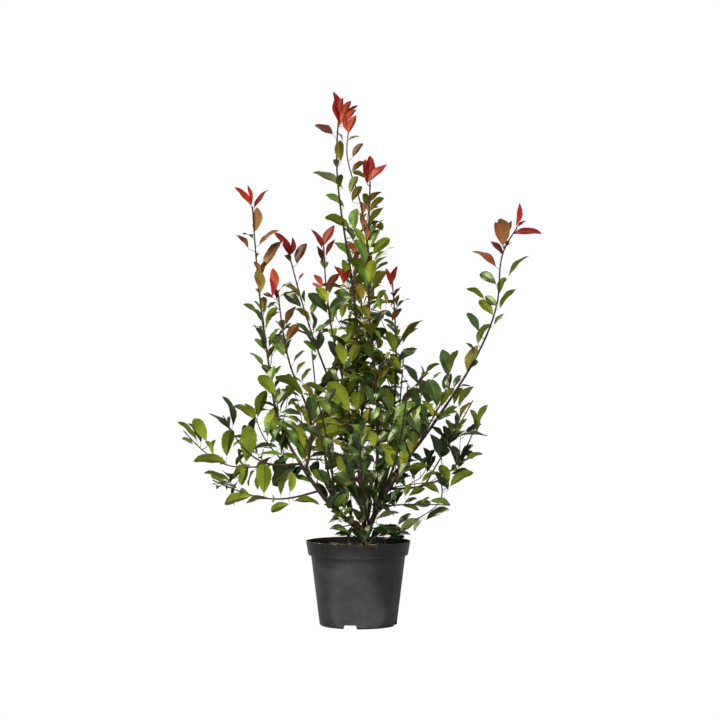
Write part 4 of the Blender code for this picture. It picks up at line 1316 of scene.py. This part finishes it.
def grow_limb(foliage, wood, name, limb, route):
    """The limb's grown leaves and twigs, as far as single leaves are placed, and its end."""
    dice = random.Random(f"{SEED} {name} growth")
    length = route_length(route)
    if limb.girths and name != "low_right_drooping_spray":
        start = limb.bare + 0.02
        spacing = LEAF_SPACING[limb.recipe]
        leaves_along(
            foliage, dice, route, start, min(limb.open_from, 0.97), spacing, limb.recipe,
            dealt(dice, limb.recipe), FOOT_LEAF_SIZE if limb.recipe == "foot" else 1.0,
            STEM_LEAF_LEAN,
        )
        if limb.open_from < 0.9:
            open_to = min(0.90, SHORTENED.get(name, 1.0) - 0.03)
            leaves_along(
                foliage, dice, route, limb.open_from, open_to, OPEN_LEAF_SPACING, limb.recipe,
                "dark", OPEN_LEAF_SIZE, OPEN_LEAF_LEAN, OPEN_SQUEEZE,
            )
        share = start
        turn = dice.uniform(0, math.tau)
        while share < min(limb.open_from, LAST_TWIG_AT) and limb.recipe != "foot":
            reach = max(TWIG_LEAST, girth_at(limb, share) * dice.uniform(*TWIG_REACH))
            grow_twig(
                foliage, wood, dice, place_on(route, share), heading(route, share), turn,
                reach, limb.recipe,
            )
            turn += NODE_TURN
            share += dice.uniform(*TWIG_STEPS) * spacing / length
    if name in NEW_GROWTH:
        tip_rosette(foliage, dice, route, NEW_GROWTH[name], *NEW_ROSETTE)
    elif limb.girths and name not in SHORTENED:
        tip_rosette(foliage, dice, route, PLAIN_ROSETTE_TINTS, *PLAIN_ROSETTE)


# Wood


def bark_relief(dice, count, depth, nodes):
    """Long ridges that wander round the limb, and a swelling at each node."""
    phases = [dice.uniform(0, math.tau) for _ in range(4)]
    swollen = [dice.uniform(0.5, 1.0) for _ in range(nodes)]

    def relief(index, turn):
        along = index / max(count - 1, 1)
        ridges = (
            np.sin(3 * turn + phases[0] + 9 * along)
            + 0.7 * np.sin(5 * turn + phases[1] - 23 * along)
            + 0.6 * np.sin(2 * turn + phases[2] + 61 * along)
            + 0.5 * math.sin(97 * along + phases[3])
        )
        near = (along * nodes) % 1.0
        bulge = math.exp(-(((near - 0.5) * 7) ** 2)) * swollen[min(int(along * nodes), nodes - 1)]
        return 1 + depth * ridges + 0.16 * bulge

    return relief


def limb_routes():
    """The routes of the trunk and of all limbs, by name."""
    routes = {"trunk": smooth_route([TRUNK_FOOT, TRUNK_TOP])}
    for name, limb in LIMBS.items():
        start = place_on(routes[limb.parent], limb.fork)
        routes[name] = smooth_route([start, *limb.bends, limb.tip])
    return routes


def add_limb(pile, name, limb, route):
    """A limb as far as its wood goes, bare below and hidden among its leaves above."""
    dice = random.Random(f"{SEED} {name} bark")
    length = route_length(route)
    main = limb.parent == "trunk"
    count = max(8, round(length / RING_SPACING))
    points = stretch(route, 0.0, SHORTENED.get(name, 1.0), count)
    shares = np.linspace(0, 1, count)
    radii = limb.thin * 1.05 + (limb.thick - limb.thin) * (1 - shares) ** 1.7
    young = np.clip((points[:, 2] - YOUNG_BARK_FROM) / YOUNG_BARK_OVER, 0, 1)
    slots = [
        0 if value < 0.35 else 1 if share < SHOOT_BARK_FROM else 2
        for value, share in zip(young, shares)
    ]
    ridges = MAIN_STEM_RIDGES if main else BOUGH_RIDGES
    relief = bark_relief(dice, count, ridges, max(3, round(length / NODE_SPACING)))
    add_tube(pile, points, radii, MAIN_STEM_SIDES if main else BOUGH_SIDES, slots, relief)


def add_trunk(pile):
    """The short flared trunk, with flutes that run out from its foot."""
    dice = random.Random(SEED)
    points = stretch(smooth_route([TRUNK_FOOT, TRUNK_TOP]), 0.0, 1.0, TRUNK_RINGS)
    flare = (1 - np.linspace(0, 1, TRUNK_RINGS)) ** 2
    radii = TRUNK_TOP_RADIUS + (TRUNK_FLARE_RADIUS - TRUNK_TOP_RADIUS) * flare
    rough = bark_relief(dice, TRUNK_RINGS, TRUNK_RIDGES, 3)

    def relief(index, turn):
        return rough(index, turn) + TRUNK_FLUTES * flare[index] * np.cos(5 * turn)

    add_tube(pile, points, radii, TRUNK_SIDES, [0] * TRUNK_RINGS, relief)


# Pot


def round_points(radius, sides):
    """Evenly spaced (x, y) on a circle about Z."""
    turns = [math.tau * i / sides for i in range(sides)]
    return [(radius * math.cos(turn), radius * math.sin(turn)) for turn in turns]


def profile_mesh(name, profile, sides):
    """A closed profile of (radius, height) from axis to axis, turned about Z."""
    shape = bmesh.new()
    rings = [
        [shape.verts.new((x, y, height)) for x, y in round_points(radius, sides if radius else 1)]
        for radius, height in profile
    ]
    for lower, upper in zip(rings, rings[1:]):
        for i in range(sides):
            j = (i + 1) % sides
            below = (lower[i % len(lower)], lower[j % len(lower)])
            above = (upper[j % len(upper)], upper[i % len(upper)])
            shape.faces.new(list(dict.fromkeys(below + above)))
    bmesh.ops.recalc_face_normals(shape, faces=shape.faces)
    return mesh_of(name, shape)


def mesh_of(name, shape):
    mesh = bpy.data.meshes.new(name)
    shape.to_mesh(mesh)
    shape.free()
    return mesh


def wall_radius(height):
    """Outer radius of the wall under the rim band."""
    share = height / (POT_HEIGHT - RIM_BAND)
    return BASE_RADIUS + (BODY_TOP_RADIUS - BASE_RADIUS) * share


def band_radius(height):
    """Outer radius of the rim band."""
    share = (height - (POT_HEIGHT - RIM_BAND)) / RIM_BAND
    return RIM_FOOT_RADIUS + (RIM_RADIUS - RIM_FOOT_RADIUS) * share


def rounded(corner, before, after, radius, steps=4):
    """A corner of the profile, rounded off."""
    corner, before, after = np.array(corner), np.array(before), np.array(after)
    start = corner + unit(before - corner) * radius
    end = corner + unit(after - corner) * radius
    return [
        tuple((1 - s) ** 2 * start + 2 * s * (1 - s) * corner + s**2 * end)
        for s in np.linspace(0, 1, steps)
    ]


def pot_profile():
    """From the middle of the raised floor up the inside, over the rim and down to the foot ring."""
    foot = POT_HEIGHT - RIM_BAND
    recess = RAISED_FLOOR - FLOOR
    points = [
        (0.0, RAISED_FLOOR),
        (wall_radius(RAISED_FLOOR) - WALL, RAISED_FLOOR),
        (wall_radius(foot) - WALL, foot + WALL),
        (band_radius(foot + WALL) - WALL, foot + WALL),
        (RIM_RADIUS - WALL, POT_HEIGHT),
        (RIM_RADIUS, POT_HEIGHT),
        (RIM_FOOT_RADIUS, foot),
        (BODY_TOP_RADIUS, foot),
        (wall_radius(BASE_CHAMFER), BASE_CHAMFER),
        (BASE_RADIUS - BASE_CHAMFER, 0.0),
        (BASE_RADIUS - BASE_CHAMFER - WALL, 0.0),
        (wall_radius(recess) - WALL * 1.6, recess),
        (0.0, recess),
    ]
    profile = []
    for index, point in enumerate(points):
        if index in POT_CORNERS:
            profile += rounded(point, points[index - 1], points[index + 1], POT_CORNERS[index])
        else:
            profile.append(point)
        if point == (BODY_TOP_RADIUS, foot):
            for height in MOULDING_LINES:
                profile += moulding_line(height)
    return profile


def moulding_line(height):
    """A shallow ring that the mould leaves round the wall."""
    steps = ((0.0009, 0.0), (0.0003, 0.00012), (-0.0003, 0.00012), (-0.0009, 0.0))
    return [(wall_radius(height + up) + out, height + up) for up, out in steps]


def notch_cutter(index):
    """A wedge, narrower above, that cuts one drainage notch into the foot of the wall."""
    shape = bmesh.new()
    bmesh.ops.create_cube(shape, size=1.0)
    for vertex in shape.verts:
        width = NOTCH_WIDTH * (NOTCH_NARROWING if vertex.co.z > 0 else 2 - NOTCH_NARROWING)
        vertex.co = (vertex.co.x * NOTCH_DEPTH, vertex.co.y * width, vertex.co.z * 2 * NOTCH_HEIGHT)
    cutter = linked(f"notch_{index + 1}", mesh_of("notch", shape))
    angle = math.radians(NOTCH_FIRST_DEG + 360.0 / NOTCH_COUNT * index)
    cutter.location = (BASE_RADIUS * math.cos(angle), BASE_RADIUS * math.sin(angle), 0.0)
    cutter.rotation_euler = (0.0, 0.0, angle)
    return cutter


def build_pot():
    """The turned pot with its notches cut, black outside and duller within."""
    pot = linked("nursery_pot", profile_mesh("nursery_pot", pot_profile(), POT_SIDES))
    cutters = [notch_cutter(index) for index in range(NOTCH_COUNT)]
    for cutter in cutters:
        modifier = pot.modifiers.new("notch", "BOOLEAN")
        modifier.operation = "DIFFERENCE"
        modifier.solver = "EXACT"
        modifier.object = cutter
    bpy.context.view_layer.update()
    graph = bpy.context.evaluated_depsgraph_get()
    pot.data = bpy.data.meshes.new_from_object(pot.evaluated_get(graph))
    pot.modifiers.clear()
    for cutter in cutters:
        bpy.data.objects.remove(cutter, do_unlink=True)
    pot.data.materials.clear()
    pot.data.materials.append(plastic_material())
    pot.data.materials.append(inside_material())
    for face in pot.data.polygons:
        outward = face.normal.x * face.center.x + face.normal.y * face.center.y
        within = math.hypot(face.center.x, face.center.y) < wall_radius(face.center.z) - 0.4 * WALL
        face.material_index = 1 if outward < 0 or within else 0
    pot.data.shade_smooth()
    pot.data.set_sharp_from_angle(angle=math.radians(POT_SHARP_DEG))
    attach(pot, "root")
    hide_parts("pot")


def plastic_material():
    """Black polypropylene, its rim band darkened by painted shade, with water marks and dust below it
    that are also lighter as a painted reflection, and pale specks.
    """
    material = new_material("pot_plastic", (0.012, 0.0125, 0.0135), 0.3)
    marks = noise(material, 9.0, 6.0, 0.7, (1.0, 1.0, 1.4))
    streaks = noise(material, 55.0, 5.0, 0.65, (1.0, 1.0, 0.35))
    # Painted shade darkens the rim band; the wall below, with its dust and water marks, is lighter as a
    # painted reflection
    painted_shade_rim = ramp(material, marks, 0.42, 0.72, ((0.0018, 0.0018, 0.0021), (0.0050, 0.0050, 0.0058)))
    dust_and_painted_reflection = ramp(material, marks, 0.38, 0.66, ((0.0022, 0.0022, 0.0036), (0.0230, 0.0230, 0.0270)))
    where = node(material, "ShaderNodeTexCoord")
    apart = node(material, "ShaderNodeSeparateXYZ")
    heights = {"From Min": POT_HEIGHT - RIM_BAND + 0.001, "From Max": POT_HEIGHT - 2.0 * RIM_BAND}
    below = node(material, "ShaderNodeMapRange", heights, interpolation_type="SMOOTHSTEP")
    mixer = node(material, "ShaderNodeMix", data_type="RGBA")
    link(material, where.outputs["Object"], apart.inputs["Vector"])
    link(material, apart.outputs["Z"], below.inputs["Value"])
    link(material, below.outputs["Result"], mixer.inputs["Factor"])
    link(material, painted_shade_rim, mixer.inputs["A"])
    link(material, dust_and_painted_reflection, mixer.inputs["B"])
    dust = noise(material, 170.0, 2.0, 0.5)
    specks = ramp(material, dust, 0.66, 0.74, ((0.0, 0.0, 0.0), (0.45, 0.45, 0.45)))
    pale = {"B": (0.075, 0.073, 0.070, 1.0)}
    splashed = node(material, "ShaderNodeMix", pale, data_type="RGBA")
    link(material, specks, splashed.inputs["Factor"])
    link(material, mixer.outputs["Result"], splashed.inputs["A"])
    fine = bump(material, noise(material, 1100.0, 2.0), 0.06, 0.0002)
    return wire(
        material,
        base_color=splashed.outputs["Result"],
        roughness=mapped(material, streaks, 0.25, 0.45),
        normal=bump(material, marks, 0.10, 0.002, fine),
    )


def inside_material():
    """The duller inside of the pot, soiled by the compost."""
    material = new_material("pot_inside", (0.006, 0.006, 0.006), 0.7)
    shader_of(material).inputs["Specular IOR Level"].default_value = 0.2
    soil = noise(material, 40.0, 5.0, 0.7, (1.0, 1.0, 1.6))
    colours = ramp(material, soil, 0.40, 0.70, ((0.004, 0.004, 0.004), (0.014, 0.011, 0.009)))
    return wire(material, base_color=colours, normal=bump(material, soil, 0.3, 0.0006))


# Compost


def compost_materials():
    """Soil, flakes of bark and root fibres."""
    soil = new_material("compost", (0.030, 0.020, 0.014), 0.95)
    grain = noise(soil, 160.0, 6.0, 0.7)
    colours = ramp(soil, grain, 0.3, 0.72, ((0.004, 0.003, 0.002), (0.034, 0.023, 0.015)))
    wire(soil, base_color=colours, normal=bump(soil, grain, 0.8, 0.002))
    chip = bark_material("bark_chips", (0.020, 0.011, 0.007), (0.075, 0.044, 0.025), 0.85, 300.0)
    straw = bark_material("root_fibres", (0.230, 0.160, 0.090), (0.420, 0.320, 0.200), 0.7, 400.0)
    return soil, chip, straw


def ground_height(x, y):
    """The uneven surface of the compost, which is level round the trunk."""
    radius = math.hypot(x, y)
    level = COMPOST_LEVEL + COMPOST_CROWN * (1 - radius / 0.134)
    bumps = (
        math.sin(61 * x + 3) * math.sin(53 * y + 1)
        + 0.6 * math.sin(131 * x + 40 * y)
        + 0.5 * math.sin(150 * y - 70 * x + 2)
    )
    near = min(1.0, max(0.0, (math.hypot(x - TRUNK_FOOT[0], y) - TRUNK_CLEAR) / 0.02))
    return level + 0.0011 * bumps * near - 0.0004


def band_faces(first, second, sides):
    """The faces between two rings of corners, by the number of each ring's first corner."""
    turns = [(i, (i + 1) % sides) for i in range(sides)]
    return [(first + i, second + i, second + j, first + j) for i, j in turns]


def build_compost():
    """The root ball, which fills the pot, with crumbs and fibres on its surface."""
    dice = random.Random(SEED + 5)
    pile = Pile()
    sides, rings = COMPOST_SIDES, COMPOST_RINGS
    shelf = POT_HEIGHT - RIM_BAND
    edge = band_radius(COMPOST_LEVEL) - WALL - COMPOST_GAP
    points = [(0.0, 0.0, ground_height(0, 0))]
    for ring in range(1, rings + 1):
        for x, y in round_points(edge * ring / rings, sides):
            points.append((x, y, ground_height(x, y) + dice.uniform(-1, 1) * COMPOST_ROUGHNESS))
    faces = [(0, 1 + i, 1 + (i + 1) % sides) for i in range(sides)]
    for ring in range(rings - 1):
        faces += band_faces(1 + ring * sides, 1 + (ring + 1) * sides, sides)
    last = 1 + (rings - 1) * sides
    for radius, height in (
        (edge, shelf + WALL + COMPOST_GAP),
        (wall_radius(shelf) - WALL - 0.0008, shelf + WALL + COMPOST_GAP),
        (wall_radius(RAISED_FLOOR) - WALL - 0.0008, RAISED_FLOOR + 0.0005),
    ):
        start = len(points)
        points += [(x, y, height) for x, y in round_points(radius, sides)]
        faces += band_faces(last, start, sides)
        last = start
    faces.append(tuple(reversed(range(last, last + sides))))
    pile.add(np.array(points), faces, [0] * len(faces))
    add_crumbs(pile, dice, edge)
    add_fibres(pile, dice, edge)
    compost = pile.joined("compost_surface", compost_materials(), "compost", 50.0)
    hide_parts("compost")


def add_crumbs(pile, dice, edge):
    """Crumbs of peat and flakes of bark that lie on the surface."""
    cube = np.array(
        [(x, y, z) for z in (-1, 1) for x, y in ((-1, -1), (1, -1), (1, 1), (-1, 1))], float
    )
    faces = [(3, 2, 1, 0), (4, 5, 6, 7), (0, 1, 5, 4), (1, 2, 6, 5), (2, 3, 7, 6), (3, 0, 4, 7)]
    for _ in range(CRUMBS):
        radius = edge * math.sqrt(dice.uniform(0.02, 0.93))
        angle = dice.uniform(0, math.tau)
        x, y = radius * math.cos(angle), radius * math.sin(angle)
        if math.hypot(x - TRUNK_FOOT[0], y) < TRUNK_CLEAR:
            continue
        chip = dice.random() < 0.4
        size = np.array(
            [dice.uniform(0.002, 0.006), dice.uniform(0.0012, 0.003), 0.0006]
            if chip
            else [dice.uniform(0.0008, 0.0024) for _ in range(3)]
        )
        shaped = cube * size * np.array([[dice.uniform(0.6, 1.1) for _ in range(3)] for _ in range(8)])
        spin, tip = dice.uniform(0, math.tau), dice.uniform(-0.5, 0.5)
        cos, sin = math.cos(spin), math.sin(spin)
        turn = np.array([[cos, -sin, 0], [sin, cos, 0], [0, 0, 1]])
        cos, sin = math.cos(tip), math.sin(tip)
        lean = np.array([[cos, 0, sin], [0, 1, 0], [-sin, 0, cos]])
        shaped = shaped @ lean.T @ turn.T
        shaped += (x, y, ground_height(x, y) + 0.0006)
        pile.add(shaped, faces, [1 if chip else 0] * 6)


def add_fibres(pile, dice, edge):
    """Pale root hairs and straws, some of which reach up against the rim."""
    inside = edge - 0.003
    for _ in range(FIBRES):
        angle = dice.uniform(0, math.tau)
        radius = edge * math.sqrt(dice.uniform(0.05, 0.9))
        x, y = radius * math.cos(angle), radius * math.sin(angle)
        length = dice.uniform(0.008, 0.030)
        way = dice.uniform(0, math.tau)
        points = []
        for s in np.linspace(0, 1, FIBRE_POINTS):
            px = x + length * s * math.cos(way + 0.8 * s)
            py = y + length * s * math.sin(way + 0.8 * s)
            reach = math.hypot(px, py)
            if reach > inside:
                px, py = px * inside / reach, py * inside / reach
            points.append((px, py, ground_height(px, py) + 0.001 + 0.003 * math.sin(math.pi * s)))
        points = np.array(points) + np.linspace(0, 1e-4, FIBRE_POINTS)[:, None]
        radii = np.linspace(0.0005, 0.0002, FIBRE_POINTS)
        add_tube(pile, points, radii, 4, [2] * (FIBRE_POINTS - 1))
    for column, end_column, drop in RIM_STRAWS:
        points = [
            seen_at(at, HORIZON_ROW, -reach) * (1.0, 1.0, 0.0) + (0.0, 0.0, height)
            for at, reach, height in (
                (column, 0.112, 0.2105), (column, 0.128, 0.2240), (column, RIM_RADIUS - 0.001, 0.2262),
                (end_column, RIM_RADIUS + 0.0014, 0.2240),
                (end_column, RIM_RADIUS + 0.0010, 0.2250 - drop),
            )
        ]
        add_tube(pile, smooth_route(points)[::6], np.linspace(0.0005, 0.0003, 10), 4, [2] * 9)


# Stage


def build_stage():
    bpy.ops.mesh.primitive_plane_add(size=60.0, location=(0, 0, 0))
    floor = bpy.context.object
    floor.name = "floor"
    floor.data.materials.append(floor_material())
    build_world()
    add_sun("key_light", (-0.60, -1.0, 1.00), 7.0, 46)
    add_sun("fill_light", (1.0, -0.5, 0.45), 0.5, 40)
    add_sun("back_light", (-0.2, 1.0, 0.60), 1.5, 24)
    add_panel("softbox", (0.2, -4.4, 0.8), (0.0, 0.0, 0.5), (1.0, 1.8), 22.0)
    # White paper in front of the pot, which only shows as its reflection in the wall
    card = add_panel("floor_card", (-0.06, -0.28, 0.004), (-0.06, -0.28, 1.0), (0.50, 0.38), 0.56)
    card.visible_diffuse = False
    bpy.context.scene.view_settings.view_transform = "Standard"


def floor_material():
    """A pale floor that shows white, as the paper behind the photographed plant does."""
    material = new_material("floor_paper", (0.18, 0.18, 0.18), 0.9)
    white = node(material, "ShaderNodeEmission", {"Color": (1.0, 1.0, 1.0, 1.0)})
    surface = material.node_tree.nodes["Material Output"].inputs["Surface"]
    lit = shader_of(material).outputs["BSDF"]
    show_to_camera(material, lit, white.outputs["Emission"], surface)
    return material


def build_world():
    """White behind the plant, and a dimmer room, brighter overhead, as the light that falls on it."""
    world = bpy.data.worlds.new("studio")
    bpy.context.scene.world = world
    world.use_nodes = True
    shown = world.node_tree.nodes["Background"]
    shown.inputs["Color"].default_value = (1.0, 1.0, 1.0, 1.0)
    lit = node(world, "ShaderNodeBackground")
    where = node(world, "ShaderNodeTexCoord")
    apart = node(world, "ShaderNodeSeparateXYZ")
    levels = {"From Min": 0.25, "From Max": 0.75, "To Min": 0.05, "To Max": 0.55}
    level = node(world, "ShaderNodeMapRange", levels, interpolation_type="SMOOTHSTEP")
    link(world, where.outputs["Generated"], apart.inputs["Vector"])
    link(world, apart.outputs["Z"], level.inputs["Value"])
    link(world, level.outputs["Result"], lit.inputs["Strength"])
    surface = world.node_tree.nodes["World Output"].inputs["Surface"]
    show_to_camera(world, lit.outputs["Background"], shown.outputs["Background"], surface)


def show_to_camera(owner, lit, shown, surface):
    """What the camera sees directly, in place of what lights the plant."""
    path = node(owner, "ShaderNodeLightPath")
    mixer = node(owner, "ShaderNodeMixShader")
    link(owner, path.outputs["Is Camera Ray"], mixer.inputs["Fac"])
    link(owner, lit, mixer.inputs[1])
    link(owner, shown, mixer.inputs[2])
    link(owner, mixer.outputs["Shader"], surface)


def add_sun(name, toward, strength, angle_deg):
    """A sun that stands in this direction, as seen from the plant."""
    light = bpy.data.lights.new(name, "SUN")
    light.energy = strength
    light.angle = math.radians(angle_deg)
    light.color = (1.0, 0.98, 0.88)
    linked(name, light).rotation_euler = Vector(toward).to_track_quat("Z", "Y").to_euler()


def add_panel(name, place, aim, size, energy):
    """A flat light, unseen by the camera, that shines from its place towards its aim."""
    light = bpy.data.lights.new(name, "AREA")
    light.shape = "RECTANGLE"
    light.size, light.size_y = size
    light.energy = energy
    panel = linked(name, light)
    panel.location = place
    panel.rotation_euler = (Vector(place) - Vector(aim)).to_track_quat("Z", "Y").to_euler()
    panel.visible_camera = False
    return panel


def build_camera():
    data = bpy.data.cameras.new("camera")
    data.lens = FOCAL_PIXELS * SENSOR_MM / PICTURE_WIDTH
    data.sensor_width = SENSOR_MM
    camera = linked("camera", data)
    camera.location = (CAMERA_X, -CAMERA_DISTANCE, CAMERA_HEIGHT)
    pitch = math.atan((HORIZON_ROW - MIDDLE) / FOCAL_PIXELS)
    camera.rotation_euler = (math.radians(90) + pitch, 0.0, 0.0)
    bpy.context.scene.camera = camera


# Assembly


def with_node(names):
    """Those of the limbs that have a node of their own."""
    return [name for name in names if name in frame["nodes"]]


def build_wood(routes, twigs):
    """The trunk with the main stems, the other limbs, and the thin twigs, as three pieces."""
    barks = (
        bark_material("old_bark", (0.012, 0.006, 0.004), (0.066, 0.030, 0.018), 0.75, 260.0),
        bark_material("young_bark", (0.009, 0.004, 0.003), (0.038, 0.016, 0.009), 0.55, 320.0),
        bark_material("shoot_bark", (0.024, 0.007, 0.005), (0.075, 0.020, 0.013), 0.45, 320.0),
    )
    stems, boughs, side_twigs = Pile(), Pile(), Pile()
    add_trunk(stems)
    for name, limb in LIMBS.items():
        add_limb(stems if limb.parent == "trunk" else boughs, name, limb, routes[name])
    for route, thick, thin in twigs:
        points = stretch(route, 0.0, 1.0, TWIG_RINGS)
        radii = np.linspace(thick, thin, TWIG_RINGS)
        add_tube(side_twigs, points, radii, TWIG_SIDES, [1] * (TWIG_RINGS - 3) + [2] * 2)
    main_stems = [name for name, limb in LIMBS.items() if limb.parent == "trunk"]
    others = [name for name in LIMBS if name not in main_stems]
    stem_piece = stems.joined("trunk_and_stems", barks, "bark")
    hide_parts("trunk", *with_node(main_stems))
    bough_piece = boughs.joined("boughs", barks, "bark")
    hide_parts(*with_node(others))
    side_twigs.joined("twigs", barks, "bark")


def build_leaves(foliage):
    """The stalks as one piece and each tint as one, in place of the solids' leafy masses."""
    stalk_materials = (
        bark_material("green_stalks", (0.150, 0.110, 0.040), (0.300, 0.240, 0.090), 0.5, 500.0),
        bark_material("red_stalks", (0.230, 0.030, 0.022), (0.380, 0.080, 0.050), 0.45, 500.0),
    )
    foliage.stalks.joined("leaf_stalks", stalk_materials, "green_leaves")
    pieces = foliage.join()
    masses = [name for name in frame["nodes"] if name.endswith("foliage")]
    red = [
        name for name in masses
        if name.endswith("_upper_foliage") or name.startswith("front_centre_side_shoot")
    ]
    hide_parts(*[name for name in masses if name not in red])
    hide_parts(*red)


def main():
    build_camera()
    build_stage()
    build_pot()
    build_compost()
    routes = limb_routes()
    foliage = Foliage()
    twigs = []
    shown = {name: shown_part(name, route) for name, route in routes.items()}
    bearing = np.vstack([*shown.values(), *add_shown_twigs(twigs, shown)])
    for name in PLACED:
        place_leaves(foliage, twigs, name, shown[name], bearing)
    for name, limb in LIMBS.items():
        grow_limb(foliage, twigs, name, limb, routes[name])
    build_wood(routes, twigs)
    build_leaves(foliage)
    print("leaves", sum(len(found) for found in foliage.leaves.values()), "twigs", len(twigs))


main()
